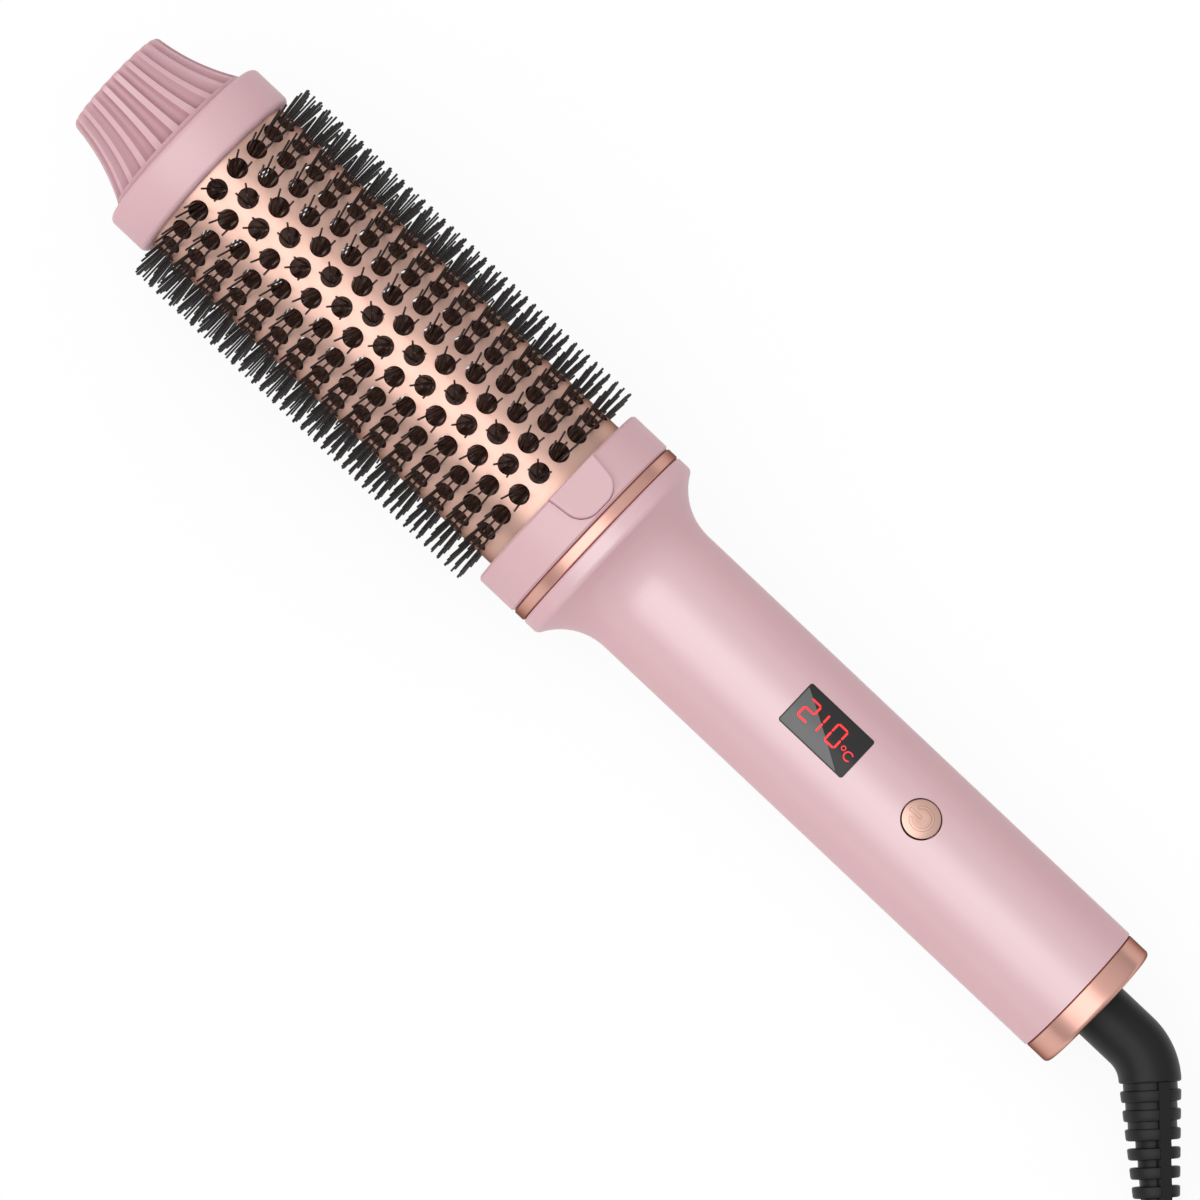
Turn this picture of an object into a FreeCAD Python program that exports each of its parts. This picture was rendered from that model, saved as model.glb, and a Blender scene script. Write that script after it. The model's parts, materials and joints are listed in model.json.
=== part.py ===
"""Heated hair styling brush with a swivel cord, one document object for each piece.

The brush is drawn along its own axis: x runs from the tip to the cord end, z is the side
with the display.  One common placement then lays it down on its bristles and its end ring.
The cord is drawn straight in that resting position.
"""
import FreeCAD, Part
import Sketcher
import math
import os
from types import SimpleNamespace
from FreeCAD import Placement, Rotation, Vector

SIZES = {
    # Shared allowances
    "overrun": 1.0,
    "seat_gap": 0.1,
    "bond_gap": 0.05,
    "slide_gap": 0.35,
    # Tip cap
    "tip_flute_length": 18.7,
    "tip_rim_length": 10.0,
    "tip_end_radius": 12.4,
    "tip_edge_round": 1.2,
    "tip_flare_radius": 45.0,
    "tip_flute_base_radius": 18.4,
    "tip_rim_radius": 21.3,
    "tip_rim_round": 1.3,
    "tip_plug_radius": 4.5,
    "tip_plug_thickness": 1.8,
    "tip_web": 2.8,
    "tip_cavity_radius": 9.5,
    "tip_cavity_step": 8.0,
    "tip_wide_cavity_radius": 14.0,
    "tip_seat_depth": 6.7,
    "flute_tip_cut_radius": 1.2,
    "flute_base_cut_radius": 1.9,
    "flute_tip_depth": 0.6,
    "flute_base_depth": 0.8,
    "flute_stop": 1.2,
    "tip_screw_radius": 1.45,
    "tip_screw_length": 20.0,
    "tip_screw_head_radius": 2.8,
    "tip_screw_head_height": 2.0,
    # Perforated barrel, heater and bristles
    "barrel_length": 94.9,
    "barrel_radius": 19.0,
    "barrel_wall": 0.8,
    "barrel_base_seat": 7.4,
    "hole_radius": 2.2,
    "hole_pitch": 5.76,
    "first_hole_offset": 3.35,
    "film_thickness": 0.3,
    "film_hole_margin": 0.35,
    "tip_bush_length": 4.5,
    "base_bush_length": 5.0,
    "base_bush_inset": 1.4,
    "bush_window_radius": 3.0,
    "bush_window_circle": 11.0,
    "core_radius": 4.5,
    "core_journal_radius": 3.5,
    "core_journal_reach": 5.0,
    "core_bore_radius": 1.6,
    "core_slot_width": 1.2,
    "core_slot_depth": 1.0,
    "rail_radius": 6.2,
    "bristle_radius": 0.17,
    "bristle_tip_radius": 25.7,
    "bristle_root_depth": 0.3,
    "tuft_root_length": 0.42,
    "tuft_root_width": 0.25,
    "tuft_tip_length": 1.8,
    "tuft_tip_width": 1.38,
    # Collar, thumb rest and ring between barrel and handle
    "collar_length": 9.7,
    "collar_radius": 22.9,
    "collar_chamfer": 0.5,
    "collar_bore": 12.0,
    "collar_screw_circle": 15.5,
    "collar_screw_radius": 1.2,
    "collar_screw_length": 7.0,
    "collar_screw_head_radius": 2.1,
    "collar_screw_head_height": 1.5,
    "thumb_rest_width": 12.9,
    "thumb_rest_end_width": 11.8,
    "thumb_rest_length": 8.9,
    "thumb_rest_rise": 0.7,
    "thumb_rest_seat": 2.3,
    "thumb_rest_corner": 4.5,
    "thumb_rest_round": 0.45,
    "collar_ring_length": 2.9,
    "collar_ring_radius": 22.8,
    "collar_ring_bore": 19.0,
    "collar_ring_chamfer": 0.25,
    "ring_line": 0.15,
    # Handle shells
    "shell_rim_length": 4.2,
    "shell_rim_radius": 22.85,
    "shell_rim_chamfer": 0.3,
    "shell_rim_round": 1.62,
    "shell_rim_run": 1.5,
    "shell_nose": 5.8,
    "shell_wall": 2.0,
    "flare_length": 11.2,
    "flare_rise": 6.4,
    "flare_radius": 13.0,
    "grip_radius": 15.44,
    "grip_length": 117.6,
    # Display, button and electronics
    "display_length": 17.5,
    "display_width": 10.3,
    "display_corner": 0.58,
    "display_setback": 44.45,
    "display_thickness": 2.4,
    "display_module_height": 5.2,
    "display_module_margin": 0.9,
    "button_setback": 70.55,
    "button_radius": 4.0,
    "button_hole_radius": 4.35,
    "button_stand": 0.3,
    "button_flat_radius": 1.2,
    "button_dome_radius": 9.0,
    "button_edge_drop": 0.45,
    "button_flange_radius": 5.0,
    "button_flange_height": 0.9,
    "button_flange_drop": 1.4,
    "plunger_radius": 1.8,
    "plunger_seat": 1.9,
    "plunger_reach": 0.3,
    "switch_side": 6.0,
    "switch_height": 2.0,
    "switch_nub_radius": 1.5,
    "switch_nub_height": 0.6,
    "board_start_setback": 9.0,
    "board_length": 80.0,
    "board_width": 22.4,
    "board_thickness": 1.6,
    "board_height": 5.3,
    "carrier_wall": 1.45,
    "carrier_web": 4.0,
    "carrier_overlap": 1.0,
    "carrier_window_radius": 5.0,
    "carrier_window_drop": 1.5,
    "board_screw_inset": 2.8,
    "board_screw_spread": 7.0,
    "board_screw_radius": 0.9,
    "board_screw_length": 7.0,
    "board_screw_head_radius": 1.9,
    "board_screw_head_height": 1.2,
    "terminal_length": 12.0,
    "terminal_width": 12.0,
    "terminal_height": 9.0,
    "terminal_setback": 6.0,
    "lead_radius": 0.8,
    "lead_spread": 3.0,
    "capacitor_length": 15.0,
    "capacitor_width": 7.0,
    "capacitor_height": 9.5,
    "capacitor_setback": 26.0,
    "triac_length": 10.0,
    "triac_width": 4.5,
    "triac_height": 9.0,
    "triac_setback": 52.0,
    "triac_tab_thickness": 1.3,
    "triac_tab_height": 6.0,
    "fuse_radius": 1.9,
    "fuse_length": 10.0,
    "fuse_side_offset": 7.0,
    "fuse_drop": 5.0,
    "sensor_length": 2.6,
    "sensor_width": 3.0,
    "sensor_thickness": 1.3,
    # End ring and swivel
    "end_ring_length": 5.8,
    "end_ring_radius": 15.2,
    "end_ring_round": 1.0,
    "end_ring_chamfer": 0.25,
    "end_ring_spigot": 5.2,
    "end_ring_bore": 11.8,
    "end_plate_radius": 12.6,
    "end_plate_thickness": 1.5,
    "end_plate_recess": 0.2,
    "housing_length": 14.0,
    "housing_chamber_radius": 11.0,
    "housing_wall": 2.0,
    "spindle_radius": 5.0,
    "spindle_bore": 2.0,
    "spindle_length": 12.6,
    "spindle_flange_radius": 8.5,
    "spindle_flange": 2.0,
    "spindle_groove_depth": 0.6,
    "slip_ring_width": 2.5,
    "slip_ring_gap": 1.8,
    "slip_ring_thickness": 1.4,
    "leaf_width": 2.0,
    "leaf_thickness": 1.0,
    "clip_radius": 7.0,
    "clip_width": 1.2,
    # Strain relief
    "relief_radius": 6.4,
    "relief_end_radius": 3.8,
    "relief_straight": 9.3,
    "relief_elbow_radius": 12.0,
    "relief_ribbed_length": 39.0,
    "relief_rib_start": 1.6,
    "relief_rib_pitch": 3.9,
    "relief_slot_width": 1.5,
    "relief_slot_depth": 1.35,
    "relief_spine_width": 2.4,
    # Cord, tie and plug
    "cord_radius": 2.5,
    "level_run": 13.5,
    "coil_inner_radius": 20.0,
    "coil_pitch": 5.4,
    "tail_run": 19.2,
    "plug_rest_gap": 0.15,
    "tie_thickness": 0.6,
    "tie_width": 9.0,
    "tie_gap": 0.3,
    "tie_corner": 3.0,
    "plug_width": 34.0,
    "plug_thickness": 13.7,
    "plug_block_length": 15.0,
    "plug_taper_length": 21.0,
    "plug_rear_width": 12.0,
    "plug_rear_thickness": 10.5,
    "plug_corner": 4.0,
    "plug_rear_corner": 4.5,
    "pin_radius": 2.0,
    "pin_length": 19.0,
    "pin_spacing": 18.6,
    "pin_root": 6.0,
    "pin_neck_radius": 1.25,
    "pin_tip_round": 1.2,
    "sleeve_length": 10.0,
    "sleeve_radius": 1.6,
}

COUNTS = {
    "flute_count": 22,
    "hole_rings": 16,
    "holes_per_ring": 20,
    "bush_windows": 6,
    "strip_count": 10,
    "collar_screws": 3,
    "relief_ribs": 9,
}

ANGLES = {
    "relief_turn": 43.65,
    "relief_roll": 10.0,
    "relief_spine_turn": 22.0,
    "tail_turn": 45.0,
}

COIL_TURNS = 8.13
COIL_STEPS = 34
CLIMB_RATE = 1.5
TIE_TURN_SHARE = 0.83
TAIL_CLIMB_SHARES = (0.0, 0.5, 0.5, 0.0)
GAP_SAMPLES_PER_ARC = 8
NEIGHBOUR_DIAMETERS = 3
RUN_SHARE = 0.45
FLARE_MIDDLE_SHARE = 0.37
FLARE_STOP_SHARE = 0.885
CORNER_WIDTH_SHARE = 0.994
CORNER_LENGTH_SHARE = 0.889
FUSE_STUB_SHARE = 0.2


class Size:
    """A length with its number and the sheet expression that it comes from."""

    def __init__(self, text, value):
        self.text = text
        self.value = value

    def __add__(self, other):
        return Size("(%s + %s)" % (self.text, other.text), self.value + other.value)

    def __sub__(self, other):
        return Size("(%s - %s)" % (self.text, other.text), self.value - other.value)

    def __mul__(self, factor):
        return Size("(%s * %.9f)" % (self.text, factor), self.value * factor)

    def __truediv__(self, divisor):
        return Size("(%s / %.9f)" % (self.text, divisor), self.value / divisor)

    def __neg__(self):
        return Size("(0 - %s)" % self.text, -self.value)


doc = FreeCAD.newDocument("StylingBrush")
sheet = doc.addObject("Spreadsheet::Sheet", "Sizes")


def fill_sheet():
    """Write every driving size to its own cell and return them by name."""
    for row, (alias, number) in enumerate({**SIZES, **COUNTS, **ANGLES}.items(), start=1):
        sheet.set("A%d" % row, alias)
        sheet.set("B%d" % row, str(number))
        sheet.setAlias("B%d" % row, alias)
    doc.recompute()
    lengths = {alias: Size("Sizes." + alias, float(sheet.get(alias))) for alias in SIZES}
    counts = {alias: int(sheet.get(alias)) for alias in COUNTS}
    angles = {alias: float(sheet.get(alias)) for alias in ANGLES}
    return SimpleNamespace(**lengths), SimpleNamespace(**counts), SimpleNamespace(**angles)


size, count, angle = fill_sheet()
ZERO = Size("0", 0.0)
AXIS = Vector(1, 0, 0)
UP = Vector(0, 0, 1)

# Stations along the brush, from the tip
x_tip_rim = size.tip_flute_length
x_barrel = x_tip_rim + size.tip_rim_length
x_collar = x_barrel + size.barrel_length
x_ring = x_collar + size.collar_length
x_shell = x_ring + size.collar_ring_length
x_flare = x_shell + size.shell_rim_length
x_grip = x_flare + size.flare_length
x_end_ring = x_grip + size.grip_length
x_end = x_end_ring + size.end_ring_length
x_first_hole = x_barrel + size.first_hole_offset
x_last_hole = x_first_hole + size.hole_pitch * (count.hole_rings - 1)
x_tube_start = x_barrel - size.tip_seat_depth
x_tube_end = x_collar + size.barrel_base_seat
x_tip_bush_end = x_tube_start + size.tip_bush_length
x_base_bush = x_collar - size.base_bush_inset
x_base_bush_end = x_base_bush + size.base_bush_length
x_display = x_grip + size.display_setback
x_button = x_grip + size.button_setback
x_board = x_grip + size.board_start_setback
x_board_end = x_board + size.board_length
x_housing_end = x_end_ring - size.end_ring_spigot - size.seat_gap
x_flange = x_housing_end + size.slide_gap
x_relief = x_flange + size.spindle_flange + size.seat_gap
x_elbow = x_end + size.relief_straight

# Radii that several pieces share
tube_inner = size.barrel_radius - size.barrel_wall
shell_inner = size.grip_radius - size.shell_wall
fit_in_shell = shell_inner - size.seat_gap
board_top = size.board_height + size.board_thickness

pieces = {}


def resting_placement():
    """Lay the brush down so that the last bristle row and the end ring touch z = 0."""
    row = x_last_hole.value + size.tuft_tip_length.value
    foot = x_end.value - size.end_ring_round.value
    reach = math.hypot(size.bristle_tip_radius.value, size.tuft_tip_width.value)
    drop = reach + size.bristle_radius.value - size.end_ring_radius.value
    lean = math.atan2(drop, foot - row)
    height = foot * math.sin(lean) + size.end_ring_radius.value * math.cos(lean)
    left = -(size.tip_end_radius.value - size.tip_edge_round.value) * math.sin(lean)
    right = x_end.value * math.cos(lean)
    right += (size.end_ring_radius.value - size.end_ring_round.value) * math.sin(lean)
    turn = Rotation(Vector(0, 1, 0), math.degrees(lean))
    return Placement(Vector(-(left + right) / 2, 0, height), turn)


LYING = resting_placement()


def keep(label, item, placement=LYING):
    """Name a finished piece and give it its place."""
    item.Label = label
    item.Placement = placement
    pieces[label] = item
    return item


def feature_piece(label, shape, placement=LYING):
    """A piece whose shape is set directly, placed afterwards."""
    item = doc.addObject("Part::Feature", label)
    item.Shape = shape
    return keep(label, item, placement)


def origin_feature(body, role):
    """The origin plane or axis of a body with the given role."""
    return next(item for item in body.Origin.OriginFeatures if item.Role == role)


def new_body(label):
    return doc.addObject("PartDesign::Body", label)


def new_sketch(body, plane, offset=ZERO, turn=0.0):
    """A sketch on one of the body's own origin planes, moved along the plane's normal."""
    sketch = body.newObject("Sketcher::SketchObject", body.Name + "_sketch")
    sketch.AttachmentSupport = (origin_feature(body, plane), [""])
    sketch.MapMode = "FlatFace"
    sketch.AttachmentOffset = Placement(Vector(0, 0, offset.value), Rotation(AXIS, turn))
    if offset.text != ZERO.text:
        sketch.setExpression("AttachmentOffset.Base.z", offset.text)
    return sketch


def arc_through(start, end, radius, centre_on_left):
    """A circular arc in the sketch plane, returned with the ends that it starts and stops at."""
    chord = end - start
    half = chord.Length / 2
    side = Vector(-chord.y, chord.x, 0).normalize()
    if not centre_on_left:
        side = side * -1
    centre = (start + end) / 2 + side * math.sqrt(max(radius * radius - half * half, 0.0))
    first, last = (start, end) if centre_on_left else (end, start)
    from_angle = math.atan2(first.y - centre.y, first.x - centre.x)
    to_angle = math.atan2(last.y - centre.y, last.x - centre.x)
    circle = Part.Circle(centre, UP, radius)
    arc = Part.ArcOfCircle(circle, from_angle, to_angle)
    return arc, (1, 2) if centre_on_left else (2, 1)


def pin_coordinate(sketch, geometry, point, kind, length):
    """Tie one coordinate of a sketch point to a size."""
    if length.text == ZERO.text:
        axis = -2 if kind == "DistanceX" else -1
        sketch.addConstraint(Sketcher.Constraint("PointOnObject", geometry, point, axis))
        return
    index = sketch.addConstraint(Sketcher.Constraint(kind, geometry, point, length.value))
    sketch.setExpression("Constraints[%d]" % index, length.text)


def outline(sketch, corners):
    """Draw a closed outline.

    Each corner is (x, y), or (x, y, radius, side) where the stretch to the next corner is an
    arc with its centre on that side of the way.
    """
    places = [Vector(corner[0].value, corner[1].value, 0) for corner in corners]
    ends = []
    for index, corner in enumerate(corners):
        start = places[index]
        end = places[(index + 1) % len(places)]
        if len(corner) == 2:
            geometry = sketch.addGeometry(Part.LineSegment(start, end))
            ends.append((geometry, 1, 2))
            continue
        arc, points = arc_through(start, end, corner[2].value, corner[3] == "left")
        geometry = sketch.addGeometry(arc)
        ends.append((geometry,) + points)
    for index, (geometry, _, stop) in enumerate(ends):
        following, begin, _ = ends[(index + 1) % len(ends)]
        sketch.addConstraint(Sketcher.Constraint("Coincident", geometry, stop, following, begin))
    for (geometry, begin, _), corner in zip(ends, corners):
        pin_coordinate(sketch, geometry, begin, "DistanceX", corner[0])
        pin_coordinate(sketch, geometry, begin, "DistanceY", corner[1])
        if len(corner) > 2:
            rule = Sketcher.Constraint("Radius", geometry, corner[2].value)
            index = sketch.addConstraint(rule)
            sketch.setExpression("Constraints[%d]" % index, corner[2].text)
    return sketch


def round_outline(sketch, x, y, radius):
    """Draw one circle."""
    centre = Vector(x.value, y.value, 0)
    geometry = sketch.addGeometry(Part.Circle(centre, UP, radius.value))
    pin_coordinate(sketch, geometry, 3, "DistanceX", x)
    pin_coordinate(sketch, geometry, 3, "DistanceY", y)
    index = sketch.addConstraint(Sketcher.Constraint("Radius", geometry, radius.value))
    sketch.setExpression("Constraints[%d]" % index, radius.text)
    return sketch


def rectangle(x_from, x_to, y_from, y_to):
    return [(x_from, y_from), (x_to, y_from), (x_to, y_to), (x_from, y_to)]


def rounded_rectangle(half_width, half_height, corner, middle=ZERO):
    """Corners of a rectangle with rounded corners; its middle may stand off along x."""
    w, d = half_width, half_height
    return [
        (middle + w - corner, -d, corner, "left"), (middle + w, corner - d),
        (middle + w, d - corner, corner, "left"), (middle + w - corner, d),
        (middle + corner - w, d, corner, "left"), (middle - w, d - corner),
        (middle - w, corner - d, corner, "left"), (middle + corner - w, -d),
    ]


def turned(body, corners, axis="H_Axis", sweep=360.0):
    """Revolve an outline about the brush axis, or about the upright axis of its sketch."""
    sketch = outline(new_sketch(body, "XZ_Plane"), corners)
    feature = body.newObject("PartDesign::Revolution", body.Name + "_turned")
    feature.Profile = sketch
    feature.ReferenceAxis = (sketch, [axis])
    feature.Midplane = True
    feature.Angle = sweep
    body.Tip = feature
    return feature


def lathe(label, corners, placement=LYING, axis="H_Axis"):
    """A piece that is one turned outline."""
    body = new_body(label)
    turned(body, corners, axis)
    return keep(label, body, placement)


def pad(body, sketch, length, midplane=False):
    feature = body.newObject("PartDesign::Pad", body.Name + "_pad")
    feature.Profile = sketch
    feature.setExpression("Length", length.text)
    feature.Midplane = midplane
    body.Tip = feature
    return feature


def pocket(body, sketch, length):
    """Cut along the sketch's normal."""
    feature = body.newObject("PartDesign::Pocket", body.Name + "_pocket")
    feature.Profile = sketch
    feature.setExpression("Length", length.text)
    feature.Reversed = True
    body.Tip = feature
    return feature


def drill_along(body, x, y, z, radius, length):
    """A round hole along the brush, starting at x."""
    return pocket(body, round_outline(new_sketch(body, "YZ_Plane", x), y, z, radius), length)


def around_axis(body, feature, copies):
    """Repeat a feature evenly about the brush axis."""
    pattern = body.newObject("PartDesign::PolarPattern", body.Name + "_around")
    pattern.Originals = [feature]
    pattern.Axis = (origin_feature(body, "X_Axis"), [""])
    pattern.Angle = 360.0
    pattern.Occurrences = copies
    body.Tip = pattern
    return pattern


def block(label, x, y, z):
    """A box between pairs of places on the three axes."""
    body = new_body(label)
    sketch = outline(new_sketch(body, "XY_Plane", z[0]), rectangle(x[0], x[1], y[0], y[1]))
    pad(body, sketch, z[1] - z[0])
    return keep(label, body)


def round_edges(body, radius, chosen):
    """Fillet the edges of the body's tip that a test picks."""
    doc.recompute()
    base = body.Tip
    names = ["Edge%d" % number for number, edge in enumerate(base.Shape.Edges, start=1) if chosen(edge)]
    feature = body.newObject("PartDesign::Fillet", body.Name + "_round")
    feature.Base = (base, names)
    feature.setExpression("Radius", radius.text)
    body.Tip = feature


def copies_of(label, master, places):
    """Several equal pieces in one node, as separate solids."""
    doc.recompute()
    solids = []
    for place in places:
        solid = master.Shape.copy()
        solid.Placement = place.multiply(solid.Placement)
        solids.append(solid)
    return feature_piece(label, Part.makeCompound(solids))


def screw(name, radius, length, head_radius, head_height):
    """A pan head screw along x, its head's seat at x = 0."""
    body = new_body(name)
    turned(body, [
        (-head_height, ZERO), (-head_height, head_radius), (ZERO, head_radius), (ZERO, radius),
        (length, radius), (length, ZERO),
    ])
    return body


def build_tip():
    """Fluted heat-safe tip cap with its screw, plug and bush."""
    plug_floor = size.tip_plug_thickness
    web_face = plug_floor + size.tip_screw_head_height + size.seat_gap * 2
    web_back = web_face + size.tip_web
    step = web_back + size.tip_cavity_step
    seat = size.barrel_radius + size.seat_gap
    head_room = size.tip_screw_head_radius + size.seat_gap * 2
    shank_room = size.tip_screw_radius + size.seat_gap
    rim_round = size.tip_rim_round
    edge = size.tip_edge_round
    cap = new_body("tip_cap")
    turned(cap, [
        (ZERO, size.tip_plug_radius),
        (ZERO, size.tip_end_radius - edge, edge, "right"),
        (edge, size.tip_end_radius, size.tip_flare_radius, "left"),
        (x_tip_rim, size.tip_flute_base_radius),
        (x_tip_rim, size.tip_rim_radius - rim_round, rim_round, "right"),
        (x_tip_rim + rim_round, size.tip_rim_radius),
        (x_barrel - rim_round, size.tip_rim_radius, rim_round, "right"),
        (x_barrel, size.tip_rim_radius - rim_round),
        (x_barrel, seat),
        (x_tube_start, seat),
        (x_tube_start, size.tip_wide_cavity_radius),
        (step, size.tip_wide_cavity_radius),
        (step, size.tip_cavity_radius),
        (web_back, size.tip_cavity_radius),
        (web_back, shank_room),
        (web_face, shank_room),
        (web_face, head_room),
        (plug_floor, head_room),
        (plug_floor, size.tip_plug_radius),
    ])
    middle = (x_tip_rim + edge) / 2
    rise = size.tip_flute_base_radius - size.tip_end_radius
    sections = []
    for place, radius, skin, depth in (
        (-size.overrun, size.flute_tip_cut_radius, size.tip_end_radius, size.flute_tip_depth),
        (middle, (size.flute_tip_cut_radius + size.flute_base_cut_radius) / 2,
         size.tip_end_radius + rise * FLARE_MIDDLE_SHARE,
         (size.flute_tip_depth + size.flute_base_depth) / 2),
        (x_tip_rim - size.flute_stop, size.flute_base_cut_radius,
         size.tip_end_radius + rise * FLARE_STOP_SHARE, size.flute_base_depth),
    ):
        height = skin + radius - depth
        sections.append(round_outline(new_sketch(cap, "YZ_Plane", place), ZERO, height, radius))
    flute = cap.newObject("PartDesign::SubtractiveLoft", "tip_cap_flute")
    flute.Profile = sections[0]
    flute.Sections = sections[1:]
    cap.Tip = flute
    around_axis(cap, flute, count.flute_count)
    keep("tip_cap", cap)

    lathe("tip_plug", [
        (ZERO, ZERO), (ZERO, size.tip_plug_radius - size.seat_gap),
        (plug_floor - size.bond_gap, size.tip_plug_radius - size.seat_gap),
        (plug_floor - size.bond_gap, ZERO),
    ])
    place = LYING.multiply(Placement(Vector(web_face.value, 0, 0), Rotation()))
    keep("tip_screw", screw("tip_screw", size.tip_screw_radius, size.tip_screw_length,
                            size.tip_screw_head_radius, size.tip_screw_head_height), place)
    bush("tip_bush", x_tube_start, x_tip_bush_end)


def bush(label, x_from, x_to):
    """A pierced disc that holds the bristle core in the middle of the barrel."""
    body = new_body(label)
    outer = tube_inner - size.seat_gap
    inner = size.core_journal_radius + size.seat_gap
    turned(body, rectangle(x_from, x_to, inner, outer))
    window = drill_along(body, x_from - size.overrun, ZERO, size.bush_window_circle,
                         size.bush_window_radius, x_to - x_from + size.overrun * 2)
    around_axis(body, window, count.bush_windows)
    keep(label, body)


def perforated_sleeve(label, x_from, x_to, inner, outer, hole):
    """A thin tube with staggered rings of round holes."""
    body = new_body(label)
    turned(body, rectangle(x_from, x_to, inner, outer))
    step = 360.0 / count.holes_per_ring
    pins = []
    for ring in range(count.hole_rings):
        x = (x_first_hole + size.hole_pitch * ring).value
        for column in range(count.holes_per_ring):
            turn = Rotation(AXIS, step * (column + (ring % 2) / 2))
            foot = turn.multVec(Vector(x, 0, (inner - size.overrun).value))
            height = (outer - inner + size.overrun * 2).value
            pins.append(Part.makeCylinder(hole.value, height, foot, turn.multVec(UP)))
    cutter = doc.addObject("Part::Feature", label + "_holes")
    cutter.Shape = Part.makeCompound(pins)
    cut = doc.addObject("Part::Cut", label + "_pierced")
    cut.Base = body
    cut.Tool = cutter
    keep(label, cut)


def strip_place(number):
    """Place of a strip: turned so that its columns of tufts meet the barrel's holes."""
    sector = 360.0 / count.strip_count
    columns = count.holes_per_ring * 2 // count.strip_count
    first = sector / columns * (columns - 1) / 2
    return LYING.multiply(Placement(Vector(0, 0, 0), Rotation(AXIS, first + sector * number)))


def build_barrel():
    """Heated tube, its film heater and the core that carries the bristle strips."""
    perforated_sleeve("barrel_tube", x_tube_start, x_tube_end, tube_inner, size.barrel_radius,
                      size.hole_radius)
    film_outer = tube_inner - size.bond_gap
    perforated_sleeve("heater_film", x_tip_bush_end + size.seat_gap, x_base_bush - size.seat_gap,
                      film_outer - size.film_thickness, film_outer,
                      size.hole_radius + size.film_hole_margin)
    bush("base_bush", x_base_bush, x_base_bush_end)

    core = new_body("bristle_core")
    front = x_tip_bush_end + size.seat_gap
    back = x_base_bush - size.seat_gap
    journal = size.core_journal_radius
    bore = size.core_bore_radius
    turned(core, [
        (x_tube_start - size.core_journal_reach, bore), (x_tube_start - size.core_journal_reach, journal),
        (front, journal), (front, size.core_radius), (back, size.core_radius), (back, journal),
        (x_base_bush_end, journal), (x_base_bush_end, bore),
    ])
    half = size.core_slot_width / 2
    slot = new_sketch(core, "YZ_Plane", front - size.bond_gap)
    outline(slot, rectangle(-half, half, size.core_radius - size.core_slot_depth,
                            size.core_radius + size.overrun))
    cut = pocket(core, slot, back - front + size.bond_gap * 2)
    around_axis(core, cut, count.strip_count)
    keep("bristle_core", core, strip_place(0))


def tuft(x, turn):
    """Five bristles that fan out of one root, four at the corners and one in the middle."""
    bristles = []
    root_height = size.rail_radius.value - size.bristle_root_depth.value
    for along, across in ((0, 0), (1, 1), (1, -1), (-1, 1), (-1, -1)):
        root = Vector(x + along * size.tuft_root_length.value,
                      across * size.tuft_root_width.value, root_height)
        tip = Vector(x + along * size.tuft_tip_length.value,
                     across * size.tuft_tip_width.value, size.bristle_tip_radius.value)
        way = turn.multVec(tip - root)
        bristles.append(Part.makeCylinder(size.bristle_radius.value, way.Length, turn.multVec(root), way))
    return bristles


def strip_shape():
    """One moulded strip: a rail with a tongue for its slot, and four columns of tufts."""
    inner = size.core_radius.value + size.bond_gap.value
    outer = size.rail_radius.value
    sector = 360.0 / count.strip_count
    half_gap = math.degrees(size.bond_gap.value / outer)
    sides = [Rotation(AXIS, turn) for turn in (half_gap - sector / 2, 0.0, sector / 2 - half_gap)]
    low = [side.multVec(Vector(0, 0, inner)) for side in sides]
    high = [side.multVec(Vector(0, 0, outer)) for side in sides]
    section = Part.Wire([
        Part.Arc(*low).toShape(), Part.LineSegment(low[2], high[2]).toShape(),
        Part.Arc(*reversed(high)).toShape(), Part.LineSegment(high[0], low[0]).toShape(),
    ])
    start = (x_tip_bush_end + size.seat_gap).value
    length = (x_base_bush - size.seat_gap).value - start
    rail = Part.Face(section).extrude(AXIS * length)
    rail.translate(AXIS * start)
    tongue_width = size.core_slot_width.value - 2 * size.seat_gap.value
    tongue_foot = (size.core_radius - size.core_slot_depth + size.seat_gap).value
    tongue_height = (inner + outer) / 2 - tongue_foot
    tongue = Part.makeBox(length, tongue_width, tongue_height,
                          Vector(start, -tongue_width / 2, tongue_foot))
    step = 360.0 / count.holes_per_ring
    columns = count.holes_per_ring * 2 // count.strip_count
    bristles = []
    for ring in range(count.hole_rings):
        x = (x_first_hole + size.hole_pitch * ring).value
        for column in range(ring % 2, columns, 2):
            turn = Rotation(AXIS, step / 2 * (column - (columns - 1) / 2))
            bristles += tuft(x, turn)
    return rail.multiFuse([tongue] + bristles)


def build_bristles():
    """The same strip, ten times round the core."""
    strip = strip_shape()
    for number in range(count.strip_count):
        feature_piece("bristle_strip_%02d" % (number + 1), strip.copy(), strip_place(number))


def other_side(longest, side):
    """The third side of a right-angled triangle."""
    text = "sqrt(%s^2 - %s^2)" % (longest.text, side.text)
    return Size(text, math.sqrt(longest.value ** 2 - side.value ** 2))


def thumb_outline(grow):
    """The D of the thumb rest, seen from above, grown all round by a gap."""
    half = size.thumb_rest_width / 2 + grow
    end_half = size.thumb_rest_end_width / 2 + grow
    corner = size.thumb_rest_corner
    flat = end_half - corner * CORNER_WIDTH_SHARE
    x_far = x_collar + size.thumb_rest_length + grow
    x_side = x_far - corner * CORNER_LENGTH_SHARE
    return [
        (x_collar, half), (x_side, end_half, corner, "right"), (x_far, flat),
        (x_far, -flat, corner, "right"), (x_side, -end_half), (x_collar, -half),
    ]


def collar_screw_places():
    """Turns of the screws about the axis, the first one away from the display."""
    return [180.0 + 360.0 / count.collar_screws * number for number in range(count.collar_screws)]


def on_circle(radius, turn):
    """Sideways and upward distances of a point on a circle about the brush axis."""
    return radius * math.sin(math.radians(turn)), radius * math.cos(math.radians(turn))


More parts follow.
